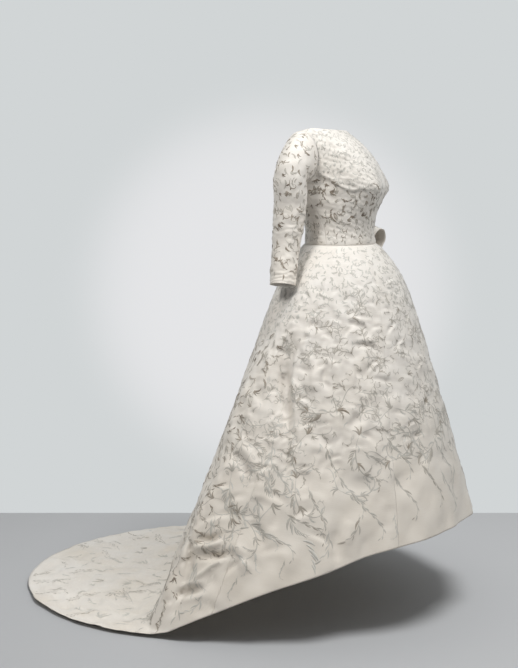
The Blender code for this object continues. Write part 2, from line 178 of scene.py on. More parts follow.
def read(rows, column, at):
    """One column's values at places along the table's first column, on a smooth curve."""
    places = next(iter(rows.values()))
    values = rows[column]
    slopes = np.gradient(values, places)
    at = np.clip(at, places[0], places[-1])
    row = np.clip(np.searchsorted(places, at, side="right") - 1, 0, len(places) - 2)
    step = places[row + 1] - places[row]
    part = (at - places[row]) / step
    rest = 1 - part
    from_start = values[row] * (1 + 2 * part) + slopes[row] * step * part
    from_end = values[row + 1] * (1 + 2 * rest) - slopes[row + 1] * step * rest
    return rest**2 * from_start + part**2 * from_end


def ease(low, high, at):
    """0 below low, 1 above high, with a smooth change between."""
    part = np.clip((at - low) / (high - low), 0, 1)
    return part * part * (3 - 2 * part)


def unit(vectors):
    """The vectors, each of length 1."""
    return vectors / np.maximum(np.linalg.norm(vectors, axis=-1, keepdims=True), 1e-12)


def along(first, second):
    """The dot product of each pair of vectors."""
    return (first * second).sum(axis=-1)


def squared(value, squareness):
    """A sine or cosine pushed out towards a squarer ring."""
    return np.sign(value) * np.abs(value) ** (2 / squareness)


def torso(angle, height):
    """Points of the fitted body, left half: angle 0 is the centre front, pi the centre back."""
    at = {name: read(TORSO, name, height) for name in TORSO}
    facing = np.cos(angle)
    in_front = facing > 0
    square = np.where(in_front, at["square_front"], at["square_back"])
    reach = np.where(in_front, at["middle"] - at["front"], at["back"] - at["middle"])
    x = at["half_width"] * squared(np.sin(angle), (at["square_front"] + at["square_back"]) / 2)
    y = at["middle"] - reach * squared(facing, square)
    cup = np.exp(-(((x - BUST_HALF_APART) / BUST_SPREAD) ** 2))
    cup = cup * np.exp(-(((height - BUST_HEIGHT) / BUST_RISE) ** 2))
    y = y - BUST_FULLNESS * cup * np.clip(facing, 0, 1)
    return np.stack([x, y, height + 0 * x], axis=-1)


FOOT = torso(np.array(SIDE_SEAM), np.array(UNDERARM))
TIP = np.array([SHOULDER_TIP_HALF, FOOT[1], SHOULDER_TIP_HEIGHT])


def armhole(turn, towards):
    """The armhole's edge: turn goes from -90 degrees at its foot to 90 at the tip."""
    depth = np.array([0.0, towards * ARMHOLE_HALF_DEPTH, 0.0])
    rise = (TIP - FOOT) / 2 * np.sin(turn)[..., None]
    return (FOOT + TIP) / 2 + rise + depth * np.cos(turn)[..., None]


def top_edge(side, neck_y, neck_height):
    """The neckline out to the neck point, then the shoulder seam out to the tip."""
    turn = np.clip(side / NECKLINE_SHARE, 0, 1) * math.pi / 2
    x = NECK_POINT[0] * np.sin(turn)
    y = NECK_POINT[1] + (neck_y - NECK_POINT[1]) * np.cos(turn)
    z = NECK_POINT[2] + (neck_height - NECK_POINT[2]) * np.cos(turn)
    seam = np.clip((side - NECKLINE_SHARE) / (1 - NECKLINE_SHARE), 0, 1)[..., None]
    return np.stack([x, y, z], axis=-1) + (TIP - NECK_POINT) * seam


def bodice(across, up, back):
    """The bodice: across is 0 at the middle and 1 at the side, up is 0 at the waist."""
    side = np.abs(across)
    rise = np.clip((up - UNDERARM_SHARE) / (1 - UNDERARM_SHARE), 0, 1)
    lower = np.clip(up / UNDERARM_SHARE, 0, 1)
    neck = NECK_BACK if back else NECK_FRONT
    height = WAIST + (UNDERARM - WAIST) * lower + (neck - UNDERARM) * rise
    beside = read(ARMHOLE_ENDS, "back" if back else "front", rise)
    end = np.where(rise > 0, beside, SIDE_SEAM)
    angle = math.pi - side * (math.pi - end) if back else side * end
    points = torso(angle, height)
    pull = armhole((rise - 0.5) * math.pi, 1 if back else -1) - torso(end + 0 * side, height)
    points = points + pull * (side**4 * (rise > 0))[..., None]
    edge = top_edge(side, NECK_BACK_Y if back else NECK_FRONT_Y, neck)
    blend = (rise**2)[..., None]
    points = points * (1 - blend) + edge * blend
    points[..., 0] = points[..., 0] * np.where(across < 0, -1, 1)
    return points


def folds(angle, share):
    """How far the folds lift the skirt, in metres, at an angle in radians."""
    lift = 0 * (angle + share)
    for row in range(len(FOLDS["angle"])):
        fold = {name: values[row] for name, values in FOLDS.items()}
        line = fold["angle"] + fold["slant"] * (share - fold["fullest"])
        off = (np.degrees(angle) - line + 180) % 360 - 180
        swell = ease(fold["starts"], fold["fullest"], share)
        fade = 1 - ease(fold["fullest"], fold["ends"], share)
        lift = lift + fold["rise"] * np.exp(-((off / fold["half_width"]) ** 2)) * swell * fade
    return lift


def skirt(angle, share):
    """The skirt and train: angle is 0 at the centre front, share runs down from the waist."""
    turn = np.abs(angle)
    outward = np.stack([np.sin(turn), -np.cos(turn)], axis=-1)
    top = torso(turn, WAIST + 0 * turn)[..., :2]
    behind = turn > math.pi / 2
    facing = np.clip(np.cos(turn), 0, 1)
    astern = np.clip(-np.cos(turn), 0, 1)
    first = -math.asin((TRAIN_CENTRE_Y - TOUCH_DOWN_Y) / TRAIN_HALF_LENGTH)
    half_width = np.where(angle < 0, TRAIN_HALF_WIDTH_RIGHT, TRAIN_HALF_WIDTH_LEFT)
    side_reach = half_width * math.cos(first)
    foot_y = TOUCH_DOWN_Y - HEM_FRONT_REACH * facing + BREAK_BACK * astern
    foot = np.stack([side_reach * np.sin(turn), foot_y], axis=-1)
    hem = np.where(behind, 0, HEM_FRONT * (1 - (1 - facing) ** HEM_SWEEP)) + CLOTH
    swing = first + (math.pi / 2 - first) * (turn / (math.pi / 2) - 1)
    edge_x = half_width * np.cos(swing)
    edge_y = TRAIN_CENTRE_Y + TRAIN_HALF_LENGTH * np.sin(swing)
    edge = np.where(behind[..., None], np.stack([edge_x, edge_y], axis=-1), foot)
    hip = HIP_BACK + (HIP_FRONT - HIP_BACK) * (1 + np.cos(turn)) / 2
    run = foot - top - outward * hip[..., None]
    drop = WAIST - hem
    fall = np.sqrt((run**2).sum(axis=-1) + drop**2)
    trail = np.linalg.norm(edge - foot, axis=-1)
    way = share * (fall + trail)
    down = np.clip(way / fall, 0, 1)
    laid = np.clip((way - fall) / np.maximum(trail, SMALLEST), 0, 1)
    settled = 1 - np.exp(-down * drop / HIP_DROP)
    plan = top + outward * (hip * settled)[..., None] + run * down[..., None]
    plan = plan + (edge - foot) * laid[..., None]
    level = drop * (1 - way / fall)
    rounding = BREAK_ROUND * (1 - np.exp(-trail / BREAK_TRAIL)) * behind
    soft = (np.sqrt(level**2 + rounding**2) - np.abs(level)) / 2 * np.exp(-np.abs(level) / BREAK_FADE)
    flat = np.maximum(soft - FLAT_TRIM * np.clip(laid * TRIM_RATE, 0, 1), 0)
    height = hem + np.maximum(level, 0) + np.where(level > 0, soft, flat)
    lift = folds(angle, share)
    lying = np.clip(laid * LYING_RATE, 0, 1) * behind
    plan = plan + outward * (lift * (1 - lying))[..., None]
    height = height + np.maximum(lift, 0) * lying
    x = plan[..., 0] * np.where(angle < 0, -1, 1)
    return np.stack([x, plan[..., 1], height], axis=-1)


def rounded_waist(points):
    """The points with the inward corner at the waist filled a little by the seam behind it."""
    away = (points[..., :2] - WAIST_MIDDLE) / WAIST_HALF_SIZES**2
    near = np.exp(-(((points[..., 2] - WAIST) / WAIST_ROUNDING_REACH) ** 2))
    moved = points.copy()
    moved[..., :2] += unit(away) * (WAIST_ROUNDING * near)[..., None]
    return moved


def sleeve_rings(arm, turn):
    """Centres, frames and half sizes of a left sleeve's rings, from the armhole to the cuff."""
    half_height = np.linalg.norm(TIP - FOOT) / 2
    lean = math.atan2(TIP[0] - FOOT[0], TIP[2] - FOOT[2])
    start = np.array([math.sin(lean), 0.0, math.cos(lean)])
    pivot = FOOT - start * UNDERARM_TURN + np.array([math.cos(lean), 0, -math.sin(lean)]) * SEAM_GAP
    rings = []
    for bend in np.linspace(lean, turn, HEAD_RINGS + 1):
        part = (bend - lean) / (turn - lean)
        upright = np.array([math.sin(bend), 0.0, math.cos(bend)])
        width = half_height + (arm["half_width"][0] - half_height) * ease(0, 1, part) ** 0.7
        depth = ARMHOLE_HALF_DEPTH + (arm["half_depth"][0] - ARMHOLE_HALF_DEPTH) * part
        centre = pivot + upright * (UNDERARM_TURN + width)
        centre[1] += (arm["y"][0] - pivot[1]) * ease(0, 1, part)
        rings.append((centre, np.array([0.0, 1.0, 0.0]), upright, depth, width))
    points = np.vstack([rings[-1][0], np.stack([arm["x"], arm["y"], arm["z"]], axis=-1)])
    spaced = np.append(0, np.cumsum(np.linalg.norm(np.diff(points, axis=0), axis=1)))
    line = {"along": spaced, "x": points[:, 0], "y": points[:, 1], "z": points[:, 2]}
    for name in ("half_depth", "half_width"):
        line[name] = np.append(arm[name][0], arm[name])
    fore = rings[-1][1]
    for way in np.linspace(0, spaced[-1], ARM_RINGS + 1)[1:]:
        near = np.array([read(line, axis, way - STEP) for axis in "xyz"])
        far = np.array([read(line, axis, way + STEP) for axis in "xyz"])
        heading = unit(far - near)
        fore = unit(fore - heading * (fore @ heading))
        centre = np.array([read(line, axis, way) for axis in "xyz"])
        depth = read(line, "half_depth", way)
        width = read(line, "half_width", way)
        rings.append((centre, fore, np.cross(heading, fore), depth, width))
    return rings


CREASE_REACH = 0.08
CREASE_TAPER = 0.7


class Cloth:
    """A grid of points on the silk, on which creases are pressed and thread work is laid."""

    def __init__(self, points, away):
        self.points = points
        self.away = away
        self.survey()

    def survey(self):
        """The grid's slopes and the way it faces, after any change to its points."""
        self.down = np.gradient(self.points, axis=0)
        self.over = np.gradient(self.points, axis=1)
        self.out = unit(np.cross(self.over, self.down)) * self.away
        self.rows, self.columns, _ = self.points.shape

    def at(self, field, place):
        """A field's values between the grid's points, at places given as row and column."""
        row = np.clip(place[..., 0], 0, self.rows - 1.001)
        column = np.clip(place[..., 1], 0, self.columns - 1.001)
        i = row.astype(int)
        j = column.astype(int)
        a = (row - i)[..., None]
        b = (column - j)[..., None]
        upper = field[i, j] * (1 - b) + field[i, j + 1] * b
        lower = field[i + 1, j] * (1 - b) + field[i + 1, j + 1] * b
        return upper * (1 - a) + lower * a

    def step(self, place, heading, length):
        """The move in rows and columns that goes so far over the cloth: heading 0 is along a row."""
        over = self.at(self.over, place)
        down = self.at(self.down, place)
        lean = along(down, unit(over))
        steep = np.linalg.norm(down - unit(over) * lean[..., None], axis=-1)
        rows = np.sin(heading) * length / np.maximum(steep, SMALLEST)
        across = np.cos(heading) * length - rows * lean
        columns = across / np.maximum(np.linalg.norm(over, axis=-1), SMALLEST)
        return np.stack([rows, columns], axis=-1)

    def lift(self, amount):
        """Moves the cloth out by an amount at each point."""
        self.points = self.points + self.out * amount[..., None]
        self.survey()

    def crease(self, start, end, bow, half_width, height):
        """How far a soft ridge between two points of the cloth lifts it. A trough's height is negative."""
        line = end - start
        length = np.linalg.norm(line)
        offset = self.points - start
        part = offset @ line / length**2
        nearest = np.linalg.norm(self.points - (start + end) / 2, axis=-1).argmin()
        facing = self.out.reshape(-1, 3)[nearest]
        across = unit(np.cross(facing, line))
        inside = np.clip(part, 0, 1)
        side = offset @ across - bow * 4 * inside * (1 - inside)
        beyond = (part - inside) * length
        level = offset @ facing
        near = (side / half_width) ** 2 + (beyond / half_width) ** 2 + (level / CREASE_REACH) ** 2
        taper = 1 - (2 * inside - 1) ** 4 * CREASE_TAPER
        return height * np.exp(-near) * taper


def waver(points, size, seed):
    """Smooth uneven waves from -1 to 1 over space, of about that size."""
    draw = np.random.default_rng(seed)
    total = 0
    for _ in range(9):
        way = unit(draw.normal(size=3)) * 2 * math.pi / size * draw.uniform(0.7, 1.4)
        total = total + np.sin(points @ way + draw.uniform(0, 2 * math.pi))
    return np.tanh(total / 2.6)


def mesh_piece(name, points, faces, material, maps=None, tones=None, rims=0):
    """A piece from points and faces, the first of them flat rims, with a flat map of its cloth."""
    mesh = bpy.data.meshes.new(name)
    mesh.from_pydata((points - HELD_AT).tolist(), [], faces)
    mesh.polygons.foreach_set("use_smooth", np.arange(len(faces)) >= rims)
    if maps is not None:
        corners = np.empty(len(mesh.loops), np.int32)
        mesh.loops.foreach_get("vertex_index", corners)
        layer = mesh.uv_layers.new(name="cut")
        layer.data.foreach_set("uv", maps[corners].astype(np.float32).ravel())
    if tones is not None:
        layer = mesh.attributes.new("tone", "FLOAT", "POINT")
        layer.data.foreach_set("value", tones.astype(np.float32))
    mesh.materials.append(material)
    piece = bpy.data.objects.new(name, mesh)
    bpy.context.scene.collection.objects.link(piece)
    return piece


def panel(node, cloth, columns=slice(None), floor=False):
    """A thin panel of silk cut from some of a cloth's columns."""
    outer = cloth.points[:, columns].copy()
    rows, wide, _ = outer.shape
    for edge, inside in ((0, 1), (-1, -2)):
        outer[:, edge] += unit(outer[:, inside] - outer[:, edge]) * SEAM_EASE
    inner = outer - cloth.out[:, columns] * SILK
    if floor:
        low = np.maximum(outer[..., 2] - LYING_SILK, CLEAR_OF_FLOOR)
        inner[..., 2] = np.where(outer[..., 2] < LYING_BELOW, low, inner[..., 2])
    inner = inner[::2, ::2]
    flip = cloth.away > 0
    faces = []
    near = np.arange(rows * wide).reshape(rows, wide)
    far = rows * wide + np.arange(inner.shape[0] * inner.shape[1]).reshape(inner.shape[:2])
    rims = [(near[0], far[0]), (near[-1, ::-1], far[-1, ::-1])]
    rims += [(near[::-1, 0], far[::-1, 0]), (near[:, -1], far[:, -1])]
    for a, b in rims:
        strip = np.stack([a[:-2:2], b[:-1], b[1:], a[2::2], a[1:-1:2]], axis=-1)
        faces += (strip if flip else strip[:, ::-1]).tolist()
    flat = len(faces)
    for grid, outward in ((near, flip), (far, not flip)):
        ring = [grid[:-1, :-1], grid[:-1, 1:], grid[1:, 1:], grid[1:, :-1]]
        ring = ring if outward else ring[::-1]
        faces += np.stack(ring, axis=-1).reshape(-1, 4).tolist()
    maps = flat_map(cloth.points[:, columns])
    maps = np.concatenate([maps.reshape(-1, 2), maps[::2, ::2].reshape(-1, 2)])
    points = np.concatenate([outer.reshape(-1, 3), inner.reshape(-1, 3)])
    return mesh_piece("silk_" + node, points, faces, SILK_FINISH, maps, rims=flat)


def flat_map(points):
    """Each point's place on the cut cloth, in metres: across from its middle and down from its top."""
    across = np.linalg.norm(np.diff(points, axis=1), axis=2)
    down = np.linalg.norm(np.diff(points, axis=0), axis=2)
    u = np.concatenate([np.zeros((len(points), 1)), np.cumsum(across, axis=1)], axis=1)
    v = np.concatenate([np.zeros((1, points.shape[1])), np.cumsum(down, axis=0)], axis=0)
    middle = u[:, u.shape[1] // 2]
    return np.stack([u - middle[:, None], v], axis=-1)


class Wire:
    """A socket of a finish, reckoned with as a number."""

    def __init__(self, finish, socket):
        self.finish = finish
        self.socket = socket

    def reckon(self, operation, *values):
        """What a sum, a difference or the like of numbers and wires comes to."""
        sockets = dict(enumerate(values))
        return self.finish.node("ShaderNodeMath", {"operation": operation}, sockets)

    def __add__(self, other):
        return self.reckon("ADD", self, other)

    def __sub__(self, other):
        return self.reckon("SUBTRACT", self, other)

    def __rsub__(self, other):
        return self.reckon("SUBTRACT", other, self)

    def __mul__(self, other):
        return self.reckon("MULTIPLY", self, other)

    def __pow__(self, other):
        return self.reckon("POWER", self, other)

    def __rpow__(self, other):
        return self.reckon("POWER", other, self)

    __radd__ = __add__
    __rmul__ = __mul__


class Workings:
    """The nodes of one finish or of the studio's surroundings."""

    def __init__(self, tree):
        self.tree = tree

    def node(self, kind, settings=None, sockets=None, output=0):
        """Adds a node: its settings first, then the values or links of its sockets."""
        node = self.tree.nodes.new(kind)
        for name, value in (settings or {}).items():
            if name == "stops":
                ramp = node.color_ramp
                while len(ramp.elements) < len(value):
                    ramp.elements.new(0.5)
                for element, (place, colour) in zip(ramp.elements, value):
                    element.position = place
                    element.color = (*colour, 1)
            else:
                setattr(node, name, value)
        for socket, value in (sockets or {}).items():
            if isinstance(value, Wire):
                self.tree.links.new(value.socket, node.inputs[socket])
            else:
                node.inputs[socket].default_value = value
        return Wire(self, node.outputs[output])

    def noise(self, vector, scale, detail=3.0, roughness=0.5):
        """A noise's value over a vector."""
        sockets = {"Vector": vector, "Scale": scale, "Detail": detail, "Roughness": roughness}
        return self.node("ShaderNodeTexNoise", None, sockets)

    def between(self, value, low, high, least, most):
        """A value's way from low to high, told from least to most and kept within them."""
        return self.node("ShaderNodeMapRange", None, {0: value, 1: low, 2: high, 3: least, 4: most})

    def ramp(self, factor, *stops):
        """A colour by a factor, between stops."""
        return self.node("ShaderNodeValToRGB", {"stops": stops}, {0: factor})

    def bump(self, height, strength, distance):
        """A surface's way of facing, bent by a height."""
        sockets = {"Strength": strength, "Distance": distance, "Height": height}
        return self.node("ShaderNodeBump", None, sockets)

    def facing(self, direction, towards):
        """How nearly a direction points one way, from -1 to 1."""
        sockets = {0: direction, 1: towards}
        return self.node("ShaderNodeVectorMath", {"operation": "DOT_PRODUCT"}, sockets, "Value")

    def stretched(self, vector, across, down):
        """The flat map scaled by its own amount each way."""
        sockets = {0: vector, 1: (across, down, 1.0)}
        return self.node("ShaderNodeVectorMath", {"operation": "MULTIPLY"}, sockets)

    def blend(self, factor, first, second):
        """Two colours mixed."""
        settings = {"data_type": "RGBA"}
        return self.node("ShaderNodeMix", settings, {0: factor, 6: first, 7: second}, 2)


class Finish(Workings):
    """A cloth or thread finish, on a Principled shader."""

    def __init__(self, name, **constants):
        self.material = bpy.data.materials.new(name)
        self.material.use_nodes = True
        super().__init__(self.material.node_tree)
        self.shader = self.tree.nodes["Principled BSDF"]
        for socket, value in constants.items():
            self.shader.inputs[socket.replace("_", " ")].default_value = value

    def feed(self, **wires):
        """Links wires to the shader's own sockets."""
        for socket, wire in wires.items():
            self.tree.links.new(wire.socket, self.shader.inputs[socket.replace("_", " ")])
        return self.material


WARM_STAIN = (0.70, 0.635, 0.54, 1)
# Painted shade: the darker, warmer colour that the silk turns to down the skirt
SHADED_HEM_SILK = (0.665, 0.60, 0.51, 1)
FLOOR_SHADES = (0.56, 0.562, 0.568, 1), (0.59, 0.592, 0.598, 1)


def ivory_silk():
    """Slubbed ivory silk with a soft sheen, a little stained, with painted shade that darkens and warms it
    towards its hem.
    """
    finish = Finish("ivory_silk", Sheen_Weight=0.15, Sheen_Roughness=0.4, Specular_IOR_Level=0.35)
    cut = finish.node("ShaderNodeUVMap", {"uv_map": "cut"})
    slub = finish.noise(finish.stretched(cut, 22.0, 420.0), 1.0, 4.0, 0.6)
    warp = finish.noise(finish.stretched(cut, 900.0, 40.0), 1.0, 2.0)
    cloud = finish.noise(cut, 7.0)
    ivories = (
        (0.32, (0.69, 0.645, 0.585)),
        (0.5, (0.775, 0.737, 0.685)),
        (0.68, (0.81, 0.785, 0.745)),
    )
    colour = finish.ramp(slub * 0.5 + cloud * 0.5, *ivories)
    down = finish.node("ShaderNodeSeparateXYZ", None, {0: cut}, 1)
    stain = finish.noise(cut, 3.2, 4.0, 0.55)
    warmth = finish.between(stain, 0.48, 0.72, 0.0, 0.4) * finish.between(down, 1.2, 1.5, 0.9, 2.0)
    greys = ((0.12, 0.0), (0.42, 0.46), (0.60, 0.62), (0.80, 0.16))
    # Painted shade: the silk darkens and warms down the skirt to its hem, and lightens again along the
    # train
    hem_shade = finish.ramp(down * 0.5, *((place, (grey,) * 3) for place, grey in greys))
    colour = finish.blend(warmth, colour, WARM_STAIN)
    colour = finish.blend(hem_shade, colour, SHADED_HEM_SILK)
    bump = finish.bump(slub * 0.8 + warp * 0.2, 0.35, 0.0006)
    return finish.feed(Base_Color=colour, Roughness=0.62 - slub * 0.2, Normal=bump)


def grey_thread():
    """Satin-stitched silk thread, pale silver to dark taupe by each stroke's tone."""
    finish = Finish("grey_thread", Sheen_Weight=0.1, Specular_IOR_Level=0.45)
    cut = finish.node("ShaderNodeUVMap", {"uv_map": "cut"})
    tone = finish.node("ShaderNodeAttribute", {"attribute_name": "tone"}, None, 2)
    fleck = finish.noise(finish.stretched(cut, 500.0, 2600.0), 1.0, 2.0)
    greys = (0.0, (0.60, 0.585, 0.54)), (0.5, (0.34, 0.295, 0.24)), (1.0, (0.16, 0.125, 0.09))
    colour = finish.ramp(tone + fleck * 0.16 - 0.08, *greys)
    bump = finish.bump(fleck, 0.5, 0.0003)
    return finish.feed(Base_Color=colour, Roughness=0.5 - fleck * 0.2, Normal=bump)


def floor_finish():
    """A plain pale floor."""
    finish = Finish("studio_floor", Specular_IOR_Level=0.2)
    mottle = finish.noise(finish.node("ShaderNodeTexCoord", None, None, 3), 0.6)
    colour = finish.blend(mottle, *FLOOR_SHADES)
    return finish.feed(Base_Color=colour, Roughness=0.6 + mottle * 0.1)


SILK_FINISH = ivory_silk()
THREAD_FINISH = grey_thread()

# Each panel: the widest and the longest it is cut and its area, in metres, and the pieces that it is
# sewn to and hangs from, or lies on
BACKS = ("bodice_back_left", "bodice_back_right")
PANELS = {
    "bodice_front": (0.679, 0.446, 0.204, BACKS),
    "bodice_back_left": (0.194, 0.435, 0.0675, ("bodice_front",)),
    "bodice_back_right": (0.194, 0.435, 0.0675, ("bodice_front",)),
    "sleeve_right": (0.450, 0.539, 0.150, ("bodice_front", BACKS[1])),
    "sleeve_left": (0.450, 0.605, 0.156, ("bodice_front", BACKS[0])),
    "skirt_front": (0.855, 1.010, 0.524, ("bodice_front",)),
    "skirt_side_front_left": (0.642, 1.279, 0.378, ("bodice_front",)),
    "skirt_side_front_right": (0.635, 1.266, 0.372, ("bodice_front",)),
    "skirt_side_back_left": (0.680, 1.700, 0.382, ("bodice_front", BACKS[0], "studio_floor")),
    "skirt_side_back_right": (0.680, 1.700, 0.369, ("bodice_front", BACKS[1], "studio_floor")),
    "skirt_back_left": (0.577, 1.864, 0.664, (BACKS[0], "studio_floor")),
    "skirt_back_right": (0.549, 1.864, 0.631, (BACKS[1], "studio_floor")),
    "back_placket": (0.020, 0.560, 0.011, BACKS),
}

# Seams of the skirt's gores, in degrees from the centre front, and the columns in each
GORES = (
    ("skirt_back_right", -180, -132, 46),
    ("skirt_side_back_right", -132, -78, 68),
    ("skirt_side_front_right", -78, -36, 70),
    ("skirt_front", -36, 36, 84),
    ("skirt_side_front_left", 36, 78, 50),
    ("skirt_side_back_left", 78, 132, 50),
    ("skirt_back_left", 132, 180, 46),
)
SEAM_EDGE = 0.3
SKIRT_ROWS = 184


def skirt_columns():
    """The angles of the skirt's columns, and each gore's first and last column."""
    angles = []
    spans = {}
    for name, first, last, count in GORES:
        inside = np.linspace(first + SEAM_EDGE, last - SEAM_EDGE, count - 1)
        begin = max(len(angles) - 1, 0)
        angles += ([first] if not angles else []) + inside.tolist() + [last]
        spans[name] = slice(begin, len(angles))
    return np.radians(angles), spans


# Creases of the skirt: from and to as angle in degrees and share of the way down, then in millimetres
# how far the middle bows, the half width and the height, which is below zero in a trough
CREASES = (
    (-77.5, 0.220, -68, 0.252, 6, 9, -5),
    (-67.5, 0.265, -62.5, 0.287, 4, 9, -5),
    (-68.5, 0.285, -68.5, 0.350, -4, 8, -4.5),
    (-56.5, 0.240, -44.5, 0.280, 8, 9, -6.5),
    (-57, 0.225, -45, 0.262, 6, 9, 4.5),
    (-51, 0.318, -40, 0.343, 6, 8, -7.5),
    (-51, 0.303, -40, 0.328, 6, 9, 5),
    (-42.5, 0.438, -34.5, 0.462, 3, 8, -5.5),
    (-64, 0.367, -60.5, 0.437, -12, 10, -8.5),
    (-69, 0.360, -66, 0.430, -6, 18, 6),
    (-73.5, 0.430, -69, 0.450, 4, 7, -5.5),
    (-73, 0.445, -68.5, 0.462, 4, 7, 4.5),
    (-94.5, 0.518, -82.5, 0.608, 8, 13, -10.5),
    (-89, 0.515, -80.5, 0.600, 6, 13, 8),
    (-62.5, 0.557, -56, 0.612, -10, 14, -8.5),
    (-58.5, 0.680, -55, 0.650, -10, 17, -8.5),
    (-71.5, 0.520, -68.5, 0.585, 3, 10, -6.5),
    (-53, 0.722, -42.5, 0.820, 15, 40, -9),
    (-53, 0.878, -52.5, 0.975, 3, 16, -8.5),
    (-49.5, 0.863, -50, 0.937, 3, 18, 7),
    (-37.5, 0.858, -39, 0.933, 4, 20, -6),
    (-80, 0.230, -74, 0.272, 4, 9, 4),
    (-29, 0.343, -20.5, 0.377, 6, 12, -5),
    (-27.5, 0.517, -20.5, 0.552, 4, 14, -5.5),
    (-45.5, 0.517, -50.5, 0.567, 6, 14, -6),
    (-65.5, 0.657, -62.5, 0.753, 4, 18, -6.5),
    (-77.5, 0.617, -75.5, 0.705, 4, 18, 7),
    (-69, 0.743, -70, 0.808, 6, 18, -6),
    (-76, 0.758, -70.5, 0.857, 10, 18, -8),
    (-78, 0.815, -73, 0.920, 12, 16, 8),
    (-63.5, 0.162, -48.5, 0.195, 10, 12, -4),
    (-25, 0.642, -24.5, 0.762, 6, 22, -7.5),
    (-40.5, 0.688, -35.5, 0.783, 10, 22, 7),
    (-89.5, 0.253, -83.5, 0.340, 0, 13, -9),
    (-83.5, 0.340, -77.5, 0.427, 0, 13, -20),
    (-77.5, 0.427, -73, 0.522, 0, 13, -14),
    (-73, 0.522, -70, 0.640, 0, 17, -12),
    (-70, 0.640, -68.5, 0.760, 0, 22, -9),
    (-80.5, 0.290, -77, 0.372, 0, 7, 7),
    (-77, 0.372, -74, 0.438, 0, 8, 12),
    (-74, 0.438, -70, 0.515, 0, 8, 5),
    (-119.5, 0.300, -119, 0.410, 10, 30, 8),
    (-119, 0.430, -117, 0.530, 10, 30, -8),
    (-110, 0.360, -106, 0.470, 10, 20, -7),
    (-89.5, 0.753, -84, 0.768, -6, 10, -24),
    (-90, 0.772, -82, 0.792, -6, 9, 13),
    (-88.5, 0.793, -84, 0.818, -4, 11, -16),
    (-84, 0.818, -79, 0.838, -4, 11, -24),
    (-86, 0.870, -83.5, 0.858, 0, 8, 11),
    (-83.5, 0.858, -79, 0.838, 0, 8, 13),
    (-89, 0.895, -83.5, 0.910, 4, 13, -22),
    (-89, 0.876, -84, 0.888, 4, 8, 9),
    (-86, 0.925, -81, 0.935, 4, 13, 7),
    (-82, 0.880, -81, 0.917, 3, 8, -7),
    (-78, 0.892, -75.5, 0.872, 3, 9, -8),
    (-80.5, 0.957, -77.5, 0.990, 3, 10, -6),
    (-81.5, 0.970, -79.5, 0.990, 2, 8, -4),
    (-99.5, 0.713, -93.0, 0.768, 0, 11, -14),
    (-93.0, 0.768, -89.5, 0.815, 0, 11, -19),
    (-89.5, 0.815, -88.5, 0.870, 0, 11, -17),
    (-88.5, 0.870, -87.5, 0.953, 0, 11, -17),
)
# The side that the picture hides has like creases, moved a little
OTHER_SIDE_SHIFT = 3.0

# The closest that places may be, how many are tried for each that is wanted, how far apart the
# skirt's dents are, and how many rows and columns one reaches
CLOSEST = 0.004
TRIES = 14
DENT_SPACING = 0.046
LOW_DENT_SPACING = 0.085
DENT_REACH = 11, 16
DENT_FADE = 0.03


def scatter(cloth, spacing):
    """Places spread over the cloth, about one spacing apart, and none where that is zero."""
    area = np.linalg.norm(np.cross(cloth.over, cloth.down), axis=-1)
    wanted = area * (spacing > 0) / np.maximum(spacing, CLOSEST) ** 2
    count = int(wanted.sum() * TRIES)
    picks = chance.choice(wanted.size, count, p=(wanted / wanted.sum()).ravel())
    place = np.stack(np.divmod(picks, cloth.columns), axis=-1) + chance.uniform(-0.5, 0.5, (count, 2))
    points = cloth.at(cloth.points, place)
    room = spacing.ravel()[picks]
    kept = []
    taken = np.empty((count, 3))
    for i in range(count):
        near = ((taken[: len(kept)] - points[i]) ** 2).sum(axis=1)
        if not kept or near.min() > room[i] ** 2:
            taken[len(kept)] = points[i]
            kept.append(i)
    return place[kept], room[kept]


def dents(cloth, spacing):
    """Small uneven puckers, each a trough with a ridge above it, about one spacing apart."""
    places, room = scatter(cloth, spacing)
    amount = np.zeros((cloth.rows, cloth.columns))
    reach_rows, reach_columns = DENT_REACH
    for place, size in zip(places, room):
        i, j = np.clip(np.round(place).astype(int), 1, (cloth.rows - 2, cloth.columns - 2))
        rows = slice(max(i - reach_rows, 0), i + reach_rows)
        columns = slice(max(j - reach_columns, 0), j + reach_columns)
        over = unit(cloth.over[i, j])
        under = np.cross(over, cloth.out[i, j]) * -cloth.away
        bearing = math.radians(chance.normal(18, 38)) * (1 if j < cloth.columns / 2 else -1)
        way = over * math.cos(bearing) + under * math.sin(bearing)
        side = np.cross(cloth.out[i, j], way) * -cloth.away
        offset = cloth.points[rows, columns] - cloth.points[i, j]
        length = size * chance.uniform(0.28, 0.6)
        half_width = size * chance.uniform(0.10, 0.17)
        depth = min(size, DENT_SPACING) * chance.uniform(0.03, 0.12)
        bow = (offset @ way / length) ** 2 * half_width * 0.6
        beside = offset @ side / half_width + bow / half_width
        within = np.exp(-((offset @ way / length) ** 2) - (offset @ cloth.out[i, j] / DENT_FADE) ** 2)
        shape = 0.55 * np.exp(-((beside + 1.6) ** 2)) - np.exp(-(beside**2))
        amount[rows, columns] += depth * within * shape
    return amount


# Heights of the soft waves of the skirt and of the train on the floor
PUCKERS = 0.0018, 0.0012
HIP_PUCKERS = 0.0007
PADDING = 0.0022
BROAD_WAVES = 0.0038
HEM_WAVES = 0.0026
TRAIN_WAVES = 0.0095, 0.0050, 0.0034, 0.0012
TRAIN_TROUGHS = 0.0038
TRAIN_RIDGES = 0.0024
TRAIN_RIM = 0.0085
TRAIN_EDGE = 0.0026
TRAIN_LEAST = 0.0005
TRAIN_LOWEST = 0.0013


